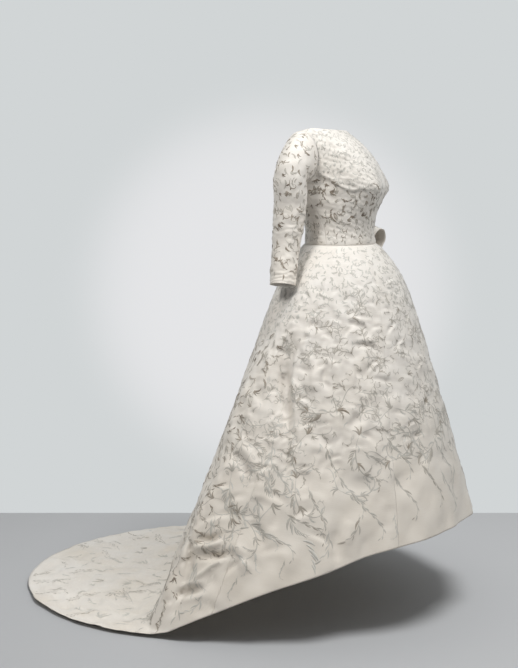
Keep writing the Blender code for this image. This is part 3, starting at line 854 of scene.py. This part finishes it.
def pressed(cloth):
    """How far the creases lift each point of the skirt, on both its sides."""
    amount = np.zeros(cloth.points.shape[:2])
    for side in (1, -1):
        for row, (a0, s0, a1, s1, *sizes) in enumerate(CREASES):
            bow, half_width, height = np.array(sizes) / 1000
            if side < 0:
                shift = OTHER_SIDE_SHIFT * math.sin(row * 2.3)
                a0, a1, bow = -a0 + shift, -a1 + shift, -bow
            start, end = skirt(np.radians([a0, a1]), np.array([s0, s1]))
            amount += cloth.crease(start, end, bow, half_width, height)
    return amount


def skirt_cloth():
    """The skirt and train with their creases, soft waves and puckers."""
    angles, spans = skirt_columns()
    angle, share = np.meshgrid(angles, np.linspace(0, 1, SKIRT_ROWS + 1))
    turned = np.degrees(np.abs(angle))
    cloth = Cloth(rounded_waist(skirt(angle, share)), -1)
    amount = pressed(cloth)
    rough = waver(cloth.points, 0.060, 3)
    fine = waver(cloth.points, 0.030, 4)
    puckered = ease(0.10, 0.24, share) * (1 - 0.8 * ease(0.55, 0.8, share))
    quiet = 0.35 + 0.65 * ease(16, 48, turned)
    amount += puckered * quiet * (PUCKERS[0] * rough + PUCKERS[1] * fine)
    room = ((share > 0.11) & (share < 0.66) & (turned > 14) & (turned < 128)) * DENT_SPACING
    room += ((share >= 0.66) & (share < 0.9) & (turned < 96) & (turned > 52)) * LOW_DENT_SPACING
    amount += dents(cloth, room)
    padded = ease(0.25, 0.38, share) * (1 - ease(0.74, 0.88, share)) * (1 - ease(120, 150, turned))
    amount += padded * PADDING * waver(cloth.points, 0.085, 21)
    wide = ease(0.35, 0.7, share) * BROAD_WAVES * waver(cloth.points, 0.15, 5)
    amount += wide * (0.25 + 0.75 * ease(12, 40, turned))
    hips = ease(0.01, 0.05, share) * (1 - ease(0.14, 0.24, share))
    amount += hips * HIP_PUCKERS * (rough + fine)
    hem = ease(0.68, 0.88, share) * (1 - ease(80, 100, turned))
    amount += hem * HEM_WAVES * waver(cloth.points, 0.10, 23)
    amount *= ease(0, 0.05, share)
    lying = 1 - ease(0.004, LYING_BELOW, cloth.points[..., 2])
    spread_train(cloth, share, turned, lying, rough, fine, amount)
    return cloth, spans


def spread_train(cloth, share, turned, lying, rough, fine, amount):
    """Lifts the skirt by its amounts, and lays the train on the floor in low waves."""
    rim = ease(0.955, 1.0, share)
    level, slow, quick, small = TRAIN_WAVES
    low = level + slow * waver(cloth.points, 0.24, 6) + quick * rough + small * fine
    low -= TRAIN_TROUGHS * (1 - np.abs(waver(cloth.points, 0.16, 41))) ** 5
    low += TRAIN_RIDGES * (1 - np.abs(waver(cloth.points, 0.12, 43))) ** 6
    low = np.maximum(low * (1 - 0.7 * rim) + TRAIN_RIM * rim, TRAIN_LEAST)
    sideways = unit(cloth.points[..., :2] - (0.0, TRAIN_CENTRE_Y))
    edge = ease(0.90, 1.0, share) * lying * ease(92, 104, turned)
    uneven = edge * TRAIN_EDGE * waver(cloth.points, 0.17, 31)
    cloth.points[..., :2] += sideways * uneven[..., None]
    cloth.points = cloth.points + cloth.out * (amount * (1 - lying * 0.75))[..., None]
    cloth.points[..., 2] = np.maximum(cloth.points[..., 2] + lying * low, TRAIN_LOWEST)
    cloth.survey()


# The lower edge of the bust, where the bodice steps in: across from the middle, height above the floor
SHELF = table(
    "across height",
    (0.00, 1.393),
    (0.30, 1.397),
    (0.50, 1.402),
    (0.62, 1.397),
    (0.69, 1.402),
    (0.77, 1.421),
    (0.87, 1.437),
    (0.92, 1.446),
    (1.00, 1.462),
)
SHELF_STEP = 0.0065
SHELF_EASE = 0.008
SHELF_FADE = 0.055
SHELF_LIP = 0.0014
SHELF_LIP_RISE = 0.002
SHELF_LIP_REACH = 0.006
BODICE_COLUMNS = 129
BODICE_ROWS = 153
BODICE_MIDDLE = BODICE_COLUMNS // 2
BODICE_PUCKERS = 0.0012, 0.0009


def bodice_cloth(back):
    """The bodice's front or back, with the step under the bust and soft puckers."""
    across, up = np.meshgrid(np.linspace(-1, 1, BODICE_COLUMNS), np.linspace(1, 0, BODICE_ROWS))
    cloth = Cloth(rounded_waist(bodice(across, up, back)), 1 if back else -1)
    inward = 1 - ease(0.93, 1.0, np.abs(across))
    edges = inward * ease(0, 0.06, up) * (1 - ease(0.9, 1.0, up))
    rough, fine = BODICE_PUCKERS
    amount = rough * waver(cloth.points, 0.045, 8) + fine * waver(cloth.points, 0.019, 9)
    if not back:
        below = read(SHELF, "height", np.abs(across)) - cloth.points[..., 2]
        crisp = ease(0.25, 0.62, np.abs(across))
        fade = np.exp(-((below / SHELF_FADE) ** 2))
        amount -= SHELF_STEP * crisp * ease(0, SHELF_EASE, below) * fade
        lip = np.exp(-(((below + SHELF_LIP_RISE) / SHELF_LIP_REACH) ** 2))
        amount += SHELF_LIP * crisp * lip
    cloth.lift(amount * edges)
    return cloth


# A sleeve's rings and columns, and the heights and numbers of its creases
HEAD_RINGS = 30
ARM_RINGS = 104
SLEEVE_COLUMNS = 73
SLEEVE_SMOOTHINGS = 40
SLEEVE_SLIMMING = 0.0035
SLEEVE_PUCKERS = 0.0010, 0.0006
CUFF_CREASES = 0.0009, 30
ELBOW_CREASES = 0.0008, 17
ELBOW_SHARE = 0.55


def sleeve_cloth(arm, turn, side):
    """A sleeve's tube, opened along the seam under the arm, with creases at the elbow and cuff."""
    around = np.linspace(-math.pi / 2, 1.5 * math.pi, SLEEVE_COLUMNS)[:, None]
    cosine = np.cos(around)
    sine = np.sin(around)
    rings = sleeve_rings(arm, turn)
    grid = np.array([c + f * cosine * d + u * sine * w for c, f, u, d, w in rings])
    for _ in range(SLEEVE_SMOOTHINGS):
        grid[1:-1] = (grid[:-2] + 2 * grid[1:-1] + grid[2:]) / 4
    cloth = Cloth(grid * (side, 1, 1), side)
    way = np.linspace(0, 1, cloth.rows)[:, None] + np.zeros((1, cloth.columns))
    rough = waver(cloth.points, 0.05, 11)
    amount = SLEEVE_PUCKERS[0] * rough + SLEEVE_PUCKERS[1] * waver(cloth.points, 0.025, 12)
    amount -= SLEEVE_SLIMMING * ease(0.4, 0.75, way)
    height, number = CUFF_CREASES
    amount += height * np.sin(2 * math.pi * (way * number + 0.5 * rough)) * ease(0.86, 0.93, way)
    height, number = ELBOW_CREASES
    near = np.exp(-(((way - ELBOW_SHARE) / 0.09) ** 2))
    amount += height * np.sin(2 * math.pi * (way * number + 0.4 * rough)) * near
    amount *= ease(0, 0.10, way)
    cloth.lift(amount)
    return cloth


THREAD_LIFT = 0.00015
THREAD_CROWN = 0.6
CLEAR_OF_EDGE = 0.8
CLEAR_OF_PLACKET = 5
STEM_TONE = 0.75
LEAF_TONE = 1.15
LEAF_UNEVEN = 0.35
SMALL_LEAF = 0.010
LEAF_WIDTH = 0.19
STEM_WIDTHS = 0.0012, 0.0023
STEM_WIDTH_LEAST = 0.0010
STEM_WIDTH_GROWTH = 0.016
BRANCH_WIDTH = 0.0016
TWIG_WIDTH = 0.0013


def girth(form, part):
    """A stroke's width along its length, as a share of its widest."""
    if form == "leaf":
        return np.sin(math.pi * (0.05 + 0.92 * part) ** 0.75)
    return np.clip(np.sin(math.pi * part), 0.12, 1) ** 0.6


class ThreadWork:
    """Raised strokes of satin-stitched thread, laid on a cloth."""

    def __init__(self, cloth):
        self.cloth = cloth
        self.strokes = []
        self.boldness = 1.0

    def stitch(self, place, heading, length, turn, curl, width, tone, form, stations):
        """Lays a stroke from each place. It turns evenly by turn, and towards its end by curl."""
        every = np.ones(len(place))
        heading = heading * every
        length = length * every
        places = [place]
        bearings = [heading]
        for part in np.arange(1, stations) / (stations - 1):
            middle = part - 0.5 / (stations - 1)
            way = heading + turn * middle + curl * middle**3
            places.append(places[-1] + self.cloth.step(places[-1], way, length / (stations - 1)))
            bearings.append(heading + turn * part + curl * part**3)
        line = np.stack(places, axis=1)
        tone = tone * (1.0 if form == "leaf" else STEM_TONE)
        self.strokes.append((line, width * self.boldness * every, tone * every, length, form))
        return line, np.stack(bearings, axis=1)

    def piece(self, node, columns, avoid=None):
        """One piece of all the thread on a panel's columns, apart from a strip to avoid."""
        cloth = self.cloth
        first, last = columns.indices(cloth.columns)[:2]
        points, faces, maps, tones = [], [], [], []
        start = 0
        for line, width, tone, length, form in self.strokes:
            row = line[..., 0]
            column = line[..., 1]
            inside = (row > CLEAR_OF_EDGE) & (row < cloth.rows - 1 - CLEAR_OF_EDGE)
            inside &= (column > CLEAR_OF_EDGE) & (column < cloth.columns - 1 - CLEAR_OF_EDGE)
            if avoid is not None:
                inside &= np.abs(column - avoid[0]) > avoid[1]
            middle = column[:, column.shape[1] // 2]
            mine = inside.all(axis=1) & (middle >= first) & (middle < last - 1 + (last == cloth.columns))
            if not mine.any():
                continue
            line = line[mine]
            many, stations, _ = line.shape
            part = np.linspace(0, 1, stations)
            half = width[mine, None] / 2 * girth(form, part)
            centre = cloth.at(cloth.points, line)
            out = unit(cloth.at(cloth.out, line))
            side = np.cross(out, unit(np.gradient(centre, axis=1)))
            shift = side * half[..., None]
            low = centre + out * THREAD_LIFT
            high = low + out * (half * THREAD_CROWN)[..., None]
            points.append(np.stack([low + shift, high, low - shift], axis=2).reshape(-1, 3))
            index = start + np.arange(many * stations * 3).reshape(many, stations, 3)
            start += many * stations * 3
            for k in (0, 1):
                ring = [index[:, :-1, k], index[:, :-1, k + 1], index[:, 1:, k + 1], index[:, 1:, k]]
                faces += np.stack(ring, axis=-1).reshape(-1, 4).tolist()
            along_stroke = length[mine, None, None] * part[:, None] + np.zeros((1, 1, 3))
            across_stroke = half[..., None] * np.array([-1, 0, 1])
            maps.append(np.stack([along_stroke, across_stroke], axis=-1).reshape(-1, 2))
            tones.append(np.repeat(tone[mine], stations * 3))
        points, maps, tones = (np.concatenate(parts) for parts in (points, maps, tones))
        made = mesh_piece("thread_work_" + node, points, faces, THREAD_FINISH, maps, tones)
        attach(made, "root")
        return made


def stem_width(size):
    """How thick a motif's stem is, by the motif's size."""
    return np.clip(STEM_WIDTH_LEAST + STEM_WIDTH_GROWTH * size, *STEM_WIDTHS)


class Spots:
    """Places to lay a motif: each with its heading, its size, the hand it turns by and its tone."""

    def __init__(self, work, place, heading, size, hand, tone):
        self.work = work
        self.place = place
        self.heading = heading
        self.size = size
        self.hand = hand
        self.tone = tone

    def vary(self, amount):
        """An uneven factor round 1 for each place."""
        return chance.uniform(1 - amount, 1 + amount, len(self.place))

    def turned(self, bend, size=1.0, side=1, shade=1.0):
        """The same places turned by a bend, for a smaller motif on one side."""
        heading = self.heading + self.hand * bend
        size = self.size * size
        return Spots(self.work, self.place, heading, size, self.hand * side, self.tone * shade)

    def facing_back(self):
        """The same places, facing back."""
        return Spots(self.work, self.place, self.heading + math.pi, self.size, self.hand, self.tone)

    def further(self, share):
        """The places a share of the size further on."""
        step = self.work.cloth.step(self.place, self.heading, self.size * share)
        return Spots(self.work, self.place + step, self.heading, self.size, self.hand, self.tone)

    def stem(self, length, turn, curl, stations, thin=1.0, shade=1.0, width=None):
        """Lays a stem, and gives the spots along it."""
        width = stem_width(self.size) * thin if width is None else width
        reach, turn, curl = self.size * length, self.hand * turn, self.hand * curl
        line, way = self.work.stitch(
            self.place, self.heading, reach, turn, curl, width, self.tone * shade, "stem", stations
        )
        along_line = zip(np.moveaxis(line, 1, 0), way.T)
        return [Spots(self.work, place, at, self.size, self.hand, self.tone) for place, at in along_line]

    def leaf(self, bend, length, turn, shade=1.0, fat=LEAF_WIDTH):
        """Lays one pointed satin-stitch leaf, darker than the stems."""
        reach = self.size * length
        tone = np.clip(self.tone * shade * LEAF_TONE * self.vary(LEAF_UNEVEN), 0, 1)
        stations = 4 if np.mean(reach) < SMALL_LEAF else 5
        heading, turn = self.heading + self.hand * bend, self.hand * turn
        self.work.stitch(self.place, heading, reach, turn, 0.0, reach * fat, tone, "leaf", stations)


def by_turns(station, every=2):
    """Which side a leaf or a twig is on."""
    return 1 if station % every else -1


def fan(spots):
    """Slender fingers that open unevenly from one place and all bend one way."""
    for finger in np.linspace(-1, 1, 4):
        length = (1.0 - 0.3 * finger**2 + 0.2 * finger) * spots.vary(0.25)
        spots.leaf(finger * 0.55 * spots.vary(0.15), length, finger * 0.7 + 1.0, 1.0, 0.11)


def curl(spots):
    """A stem that curls in on itself, with two leaves outside it."""
    stem = spots.stem(2.7, 1.3, 4.0, 15)
    stem[4].leaf(-0.8, 0.6, -0.7)
    stem[7].leaf(-0.8, 0.45, -0.7)


def hook(spots):
    """An open thin loop with leaves where it starts."""
    stem = spots.stem(2.0, 2.2, 1.9, 14)
    spots.leaf(-0.9, 0.5, 0.6)
    stem[4].leaf(-0.7, 0.45, 0.8)


def oval(spots):
    """A pointed oval outline, hatched on one side."""
    for side in (-1, 1):
        edge = spots.turned(-0.62 * side).stem(1.25, 1.24 * side, 0.0, 7)
    for spot in edge[1:6]:
        spot.leaf(1.1, 0.34, -0.3, 0.85, 0.14)


def sprig(spots):
    """A short stem with leaves on both sides and one at its tip."""
    stem = spots.stem(1.5, 1.3, 0.0, 7)
    for station in range(1, 6):
        side = by_turns(station)
        length = (0.52 - 0.05 * station) * spots.vary(0.2)
        stem[station].leaf(side * 0.75, length, side * -0.8, 1.0, 0.14)
    stem[6].leaf(0.0, 0.4, 0.3)


def plume(spots):
    """Long thin barbs that sweep one way from close starts, like the side of a feather."""
    for barb in range(5):
        start = spots.further(0.065 * barb).turned(0.95 - 0.07 * barb)
        length = (1.0 - 0.09 * abs(barb - 2)) * spots.vary(0.1)
        start.stem(length, -1.5, 0.0, 6, 0.85, spots.vary(0.2))


def feather(spots):
    """A bent quill with leaves along its outer side, longest near its foot."""
    quill = spots.stem(1.4, 1.2, 0.0, 9)
    for station in range(8):
        length = (0.56 - 0.05 * station) * spots.vary(0.35)
        quill[station].leaf(-0.7 * spots.vary(0.3), length, 0.7, 0.8, 0.15)


def tendril(spots):
    """A long thin stem that hangs and wanders, with small leaves by turns on each side."""
    stem = spots.stem(1.0, 1.9, -3.2, 15, 0.85, 0.8)
    for station in (1, 2, 3, 5, 6, 8, 9, 11, 13):
        side = by_turns(station)
        length = (0.17 - 0.006 * station) * spots.vary(0.4)
        stem[station].leaf(side * 0.5, length, side * -0.5, 0.8, 0.15)
    stem[14].leaf(0.0, 0.07, 0.3)


def sewn_along(stem, parts):
    """Lays smaller motifs on a stem's stations: each part's bend, size, side and share of the tone."""
    for motif, station, *part in parts:
        motif(stem[station].turned(*part))


def vine(spots):
    """A thin stem that bends both ways, with feathers, an oval, a sprig and a curled end."""
    parts = (
        (feather, 2, -0.6, 0.24, -1),
        (feather, 9, 0.6, 0.20, 1),
        (hook, 5, 0.7, 0.2, 1, 0.7),
        (curl, 15, 0.0, 0.12, -1, 0.85),
        (oval, 7, 0.8, 0.22, 1, 0.8),
        (sprig, 12, -0.8, 0.17, 1, 0.9),
        (plume, 4, -0.4, 0.17, -1, 0.35),
        (plume, 10, 0.4, 0.17, 1, 0.35),
    )
    sewn_along(spots.stem(1.0, 3.6, -7.0, 16, 0.9, 0.8), parts)


def scroll(spots):
    """A long thin stem that sweeps out and curls in, with leafy feathers where it forks."""
    stem = spots.stem(1.0, 1.0, 2.6, 22, 1.0, 0.8)
    tail = stem[0].facing_back().turned(-0.5).stem(0.5, -1.3, 3.0, 12, 0.8, 0.7)
    inner = (
        (feather, 5, -0.6, 0.24, 1),
        (feather, 13, 0.9, 0.15, 1, 0.9),
        (fan, 9, 0.7, 0.17, -1),
        (curl, 21, 0.0, 0.07, 1, 0.8),
        (sprig, 17, -0.8, 0.14, -1),
    )
    sewn_along(stem, inner)
    sprig(tail[6].turned(-0.7, 0.14, -1))
    fan(stem[0].facing_back().turned(0.0, 0.18))
    plumes = ((3, 1), (7, -1), (14, -1), (18, 1))
    sewn_along(stem, ((plume, station, 0.4 * side, 0.13, side, 0.35) for station, side in plumes))


def branch(spots):
    """A thin branch with bare twigs and small leaves."""
    stem = spots.stem(1.0, 0.7, -1.1, 16, width=BRANCH_WIDTH)
    for station in (2, 4, 5, 7, 9, 10, 12, 13):
        side = by_turns(station, 3)
        start = stem[station].turned(0.6 * side, 1.0, side)
        twig = start.stem(0.30 - 0.013 * station, -0.6, 0.0, 6, width=TWIG_WIDTH)
        twig[3].leaf(0.7, 0.06, -0.4)
        twig[5].leaf(0.0, 0.07, 0.3)


def embroider(work, spacing, sizes, tones, motifs, mirror=None, heading=90, stray=40, back=0.3):
    """Covers a zone with motifs, and its mirror image where there is one."""
    place, room = scatter(work.cloth, spacing)
    size = room * chance.uniform(*sizes, len(place))
    tone = chance.uniform(*tones, len(place))
    hand = chance.choice((-1.0, 1.0), len(place))
    way = np.radians(chance.normal(heading, stray, len(place)))
    way = way + math.pi * (chance.random(len(place)) < back)
    kind = chance.integers(0, len(motifs), len(place))
    if mirror is not None:
        place = np.concatenate([place, mirror(place)])
        size, tone, kind = (np.tile(value, 2) for value in (size, tone, kind))
        way = np.concatenate([way, math.pi - way])
        hand = np.concatenate([hand, -hand])
    for number, motif in enumerate(motifs):
        mine = kind == number
        if mine.any():
            motif(Spots(work, place[mine], way[mine], size[mine], hand[mine], tone[mine]))


SMALL_MOTIFS = (curl, sprig, feather, oval, plume)
FRONT_MOTIFS = (curl, sprig, hook, oval, plume)
MIXED_MOTIFS = (sprig, hook, oval, curl, plume, feather, fan, hook)
BACK_MOTIFS = (feather, sprig, plume, fan)
TRAIN_MOTIFS = (sprig, feather, plume, fan)
HEM_MOTIFS = (tendril, sprig, tendril, feather)
UNDER_MOTIFS = (curl, oval, sprig, fan, feather)
WAIST_MOTIFS = (plume, sprig, curl, feather)
SLEEVE_MOTIFS = (curl, sprig, feather, oval, plume, fan)


def cover(cloth, zones, mirror=None):
    """Covers zones of a cloth. A row has the zone, its motifs' spacing, how bold their strokes are,
    the ranges of their sizes and tones, the motifs, then their heading, how far it strays and how
    many face back, where those aren't the usual ones."""
    work = ThreadWork(cloth)
    for zone, spacing, boldness, sizes, tones, motifs, *lean in zones:
        work.boldness = boldness
        embroider(work, zone * spacing, sizes, tones, motifs, mirror, *lean)
    return work


def skirt_thread(cloth):
    """Thread work of the skirt: small at the hips, leafy below, long scrolls, a sparse train."""
    degrees = np.degrees(skirt_columns()[0])
    numbers = np.arange(len(degrees))
    angle, share = np.meshgrid(degrees, np.linspace(0, 1, cloth.rows))
    right = angle < -2
    turned = np.abs(angle)

    def mirror(place):
        column = np.interp(-np.interp(place[:, 1], numbers, degrees), degrees, numbers)
        return np.stack([place[:, 0], column], axis=-1)

    lying = cloth.points[..., 2] < LYING_BELOW
    standing = right & ~lying
    behind = standing & (turned > 94) & (turned < 132) & (share > 0.2)
    back = standing & (turned >= 132) & (turned < 177) & (share > 0.18)
    hip = right & (share > 0.006) & (share < 0.2)
    front = right & (turned < 26) & (share < 0.56)
    middle = right & (share >= 0.19) & (share < 0.55) & (turned < 96)
    lower = right & (share >= 0.50) & (share < 0.76) & (turned < 96)
    filler = standing & (share >= 0.2) & (share < 0.62) & (turned < 94)
    hanging = right & (share > 0.60) & (share < 0.81) & (turned < 92)
    train = right & lying & (share < 0.97)
    hem = standing & (share > 0.79) & (share < 0.93) & (turned > 34) & (turned < 96)
    zones = (
        (hip, 0.0140, 2.4, (0.7, 1.15), (0.0, 0.2), SMALL_MOTIFS),
        (middle, 0.062, 1.3, (1.1, 1.8), (0.2, 0.55), (vine,), 85, 50),
        (filler, 0.031, 1.3, (0.45, 0.85), (0.05, 0.5), MIXED_MOTIFS),
        (front, 0.024, 1.3, (0.5, 0.9), (0.05, 0.3), FRONT_MOTIFS),
        (back, 0.085, 1.3, (1.1, 1.8), (0.25, 0.6), (vine, scroll), 85, 50),
        (behind, 0.026, 1.6, (0.8, 1.3), (0.3, 0.75), BACK_MOTIFS, 90, 25),
        (back, 0.046, 1.6, (0.45, 0.8), (0.15, 0.6), MIXED_MOTIFS),
        (lower, 0.100, 1.5, (1.7, 2.5), (0.14, 0.45), (scroll,), 80, 45),
        (hanging, 0.090, 1.5, (1.3, 2.1), (0.08, 0.32), (tendril,), 92, 14, 0),
        (train, 0.105, 1.5, (1.3, 2.3), (0.15, 0.45), (branch,), 90, 35),
        (train, 0.070, 1.5, (0.4, 0.8), (0.02, 0.25), TRAIN_MOTIFS, 90, 40),
        (hem, 0.080, 1.3, (0.75, 1.25), (0.05, 0.3), HEM_MOTIFS, 92, 20),
    )
    return cover(cloth, zones, mirror)


def bodice_thread(cloth, back):
    """Thread work of the bodice: small and close, larger under the bust. Its tones are partly painted
    light and shade: paler on the lit chest, darker in the shade under the bust.
    """
    across, up = np.meshgrid(np.linspace(-1, 1, cloth.columns), np.linspace(1, 0, cloth.rows))
    right = across < -0.02

    def mirror(place):
        return np.stack([place[:, 0], cloth.columns - 1 - place[:, 1]], axis=-1)

    shelf = 0.45 if back else 0.45 + 0.16 * ease(0.6, 1.0, np.abs(across))
    chest = right & (up > shelf)
    under = right & (up > 0.2) & (up <= shelf - 0.01)
    waist = right & (up <= 0.2) & (up > 0.005)
    # Painted light and shade in part: pale thread on the lit chest, dark thread in the shade under the
    # bust
    zones = (
        (chest, 0.0115, 2.6, (0.7, 1.1), (0.0, 0.14), SMALL_MOTIFS),
        (under, 0.0175, 2.4, (0.8, 1.35), (0.2, 0.75), UNDER_MOTIFS),
        (waist, 0.0140, 2.4, (0.6, 1.0), (0.1, 0.6), WAIST_MOTIFS),
    )
    return cover(cloth, zones, mirror)


def sleeve_thread(cloth):
    """Thread work of a sleeve, as far as its cuff."""
    down = np.linspace(0, 1, cloth.rows)[:, None] + np.zeros((1, cloth.columns))
    above_cuff = (down > 0.01) & (down < 0.95)
    return cover(cloth, [(above_cuff, 0.0190, 1.9, (0.7, 1.3), (0.1, 0.85), SLEEVE_MOTIFS)])


# The strip's rows on the bodice and on the skirt, its columns, and how far it is puckered and its
# edges are rolled in
PLACKET_GRID = 97, 40, 13
PLACKET_PUCKERS = 0.0003
PLACKET_ROLL = 0.0009


def placket():
    """The strip that covers the opening down the centre back, puckered a little by its stitching."""
    on_bodice, on_skirt, wide = PLACKET_GRID
    upper = bodice(np.zeros(on_bodice), np.linspace(1, 0, on_bodice), True)
    lower = skirt(np.full(on_skirt, math.pi), np.linspace(0, PLACKET_END_SHARE, on_skirt + 1)[1:])
    line = rounded_waist(np.vstack([upper, lower]))
    heading = unit(np.gradient(line, axis=0))
    outward = np.stack([0 * line[:, 0], -heading[:, 2], heading[:, 1]], axis=-1)
    places = np.linspace(-1, 1, wide) * PLACKET_HALF_WIDTH
    grid = line[:, None] + outward[:, None] * PLACKET_LIFT
    grid = grid + places[:, None] * np.array([1.0, 0.0, 0.0])
    cloth = Cloth(grid, 1)
    rolled = np.abs(places / PLACKET_HALF_WIDTH) ** 3
    cloth.lift(PLACKET_PUCKERS * waver(cloth.points, 0.02, 13) - PLACKET_ROLL * rolled)
    return panel("back_placket", cloth)


def dress_panel(piece, node, thread):
    """Hangs a panel of cut silk from the root, and hides the solid that it stands for."""
    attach(piece, "root")
    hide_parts(node)
    wide, long, area, rests_on = PANELS[node]
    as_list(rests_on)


skirt_silk, skirt_spans = skirt_cloth()
pieces = {}
thread = {}
skirt_work = skirt_thread(skirt_silk)
for node, columns in skirt_spans.items():
    pieces[node] = panel(node, skirt_silk, columns, floor=True)
    thread[node] = skirt_work.piece(node, columns)
front_silk = bodice_cloth(False)
pieces["bodice_front"] = panel("bodice_front", front_silk)
thread["bodice_front"] = bodice_thread(front_silk, False).piece("bodice_front", slice(None))
back_silk = bodice_cloth(True)
back_work = bodice_thread(back_silk, True)
halves = slice(0, BODICE_MIDDLE + 1), slice(BODICE_MIDDLE, BODICE_COLUMNS)
for node, columns in zip(reversed(BACKS), halves):
    pieces[node] = panel(node, back_silk, columns)
    thread[node] = back_work.piece(node, columns, avoid=(BODICE_MIDDLE, CLEAR_OF_PLACKET))
right_sleeve = sleeve_cloth(STRAIGHT_ARM, STRAIGHT_TURN, -1)
left_sleeve = sleeve_cloth(BENT_ARM, BENT_TURN, 1)
for node, cloth in (("sleeve_right", right_sleeve), ("sleeve_left", left_sleeve)):
    pieces[node] = panel(node, cloth)
    thread[node] = sleeve_thread(cloth).piece(node, slice(None))
pieces["back_placket"] = placket()
for node, piece in pieces.items():
    dress_panel(piece, node, [thread[node]] if node in thread else ())


# The soft lights: where each is, what it faces, how wide it is, its power, its tint and what it
# lights, where that isn't everything
LAMPS = (
    ("overhead", (-0.9, -1.3, 3.6), (0.0, 0.0, -0.5), 1.95, 97, (0.955, 0.982, 1.0), "all"),
    ("floor_light", (-0.8, -1.6, 3.6), (0.0, 0.0, -1.5), 1.6, 74, (1.0, 1.0, 1.0), "floor"),
    ("side_fill", (-3.1, 1.1, 2.5), (0.0, 0.1, -0.6), 1.3, 98, (1.0, 0.985, 0.96), "gown"),
    ("sleeve_fill", (-2.3, -2.6, 0.6), (-0.2, 0.1, -0.1), 0.9, 16, (1.0, 0.98, 0.95), "sleeve"),
    ("front_fill", (-1.4, -3.2, 2.2), (0.0, -0.1, -0.4), 1.4, 46, (1.0, 0.985, 0.965), "gown"),
)
WALL = (0.638, 0.665, 0.672, 1)
GLOW = (0.782, 0.786, 0.800, 1)
GLOW_AT = (0.9489, 0.2995, -0.0991)
NEAR_SIDE = (0.048, 0.042, 0.035, 1)
ABOVE = (0.310, 0.315, 0.320, 1)
GLOW_SPREAD = 0.009
LENS_AT = (-4.308, -1.175, -0.085)
LENS_TILT = math.radians(82.4)
LENS_TURN = math.radians(-72)
LENS_LENGTH = 70.98
SENSOR_WIDTH = 36
FLOOR_REACH = 9
FLOOR_NEAR = -3
FLOOR_FAR = 5.47


def surroundings(ahead):
    """A pale wall with a soft glow behind the gown, and a dimmer room on the camera's side."""
    world = bpy.data.worlds.new("studio")
    world.use_nodes = True
    room = Workings(world.node_tree)
    way = room.node("ShaderNodeTexCoord", None, None, 0)
    behind = room.between(room.facing(way, tuple(ahead)), -0.1, 0.5, 0.0, 1.0)
    above = room.between(room.facing(way, (0, 0, 1)), 0.35, 0.8, 0.0, 1.0)
    spread = ((1.0 - room.facing(way, GLOW_AT)) * (1 / GLOW_SPREAD)) ** 4.0
    wall = room.blend(2.718 ** (spread * -1.0), WALL, GLOW)
    sky = room.blend(above, room.blend(behind, NEAR_SIDE, wall), ABOVE)
    world.node_tree.links.new(sky.socket, world.node_tree.nodes["Background"].inputs["Color"])
    bpy.context.scene.world = world


def studio(lit):
    """The floor, the soft lights and the camera."""
    right = np.array([math.cos(LENS_TURN), math.sin(LENS_TURN), 0])
    ahead = np.array([-math.sin(LENS_TURN), math.cos(LENS_TURN), 0])
    under_lens = (HELD_AT + LENS_AT) * (1, 1, 0)
    near, far = FLOOR_NEAR, FLOOR_FAR
    corners = ((-1, near), (1, near), (1, far), (-1, far))
    places = np.array([under_lens + right * side * FLOOR_REACH + ahead * at for side, at in corners])
    floor = mesh_piece("studio_floor", places, [[0, 1, 2, 3]], floor_finish())
    lit["floor"].objects.link(floor)
    surroundings(ahead)
    scene = bpy.context.scene
    for name, at, to, size, power, tint, lights in LAMPS:
        lamp = bpy.data.lights.new(name, "AREA")
        lamp.shape = "DISK"
        lamp.size = size
        lamp.energy = power
        lamp.color = tint
        holder = bpy.data.objects.new(name, lamp)
        holder.location = at
        holder.rotation_euler = aimed(np.array(to) - np.array(at))
        if lights in lit:
            holder.light_linking.receiver_collection = lit[lights]
        scene.collection.objects.link(holder)
    lens = bpy.data.cameras.new("camera")
    lens.lens = LENS_LENGTH
    lens.sensor_width = SENSOR_WIDTH
    scene.camera = bpy.data.objects.new("camera", lens)
    scene.camera.location = LENS_AT
    scene.camera.rotation_euler = (LENS_TILT, 0, LENS_TURN)
    scene.collection.objects.link(scene.camera)
    scene.view_settings.view_transform = "Standard"


def aimed(way):
    """The turn that points a lamp along a line."""
    flat = math.hypot(way[0], way[1])
    return (math.atan2(flat, -way[2]), 0, math.atan2(way[1], way[0]) - math.pi / 2)


lit = {name: bpy.data.collections.new("lit_" + name) for name in ("gown", "sleeve", "floor")}
for piece in [*pieces.values(), *thread.values()]:
    lit["gown"].objects.link(piece)
for piece in (pieces["sleeve_right"], thread["sleeve_right"]):
    lit["sleeve"].objects.link(piece)
studio(lit)
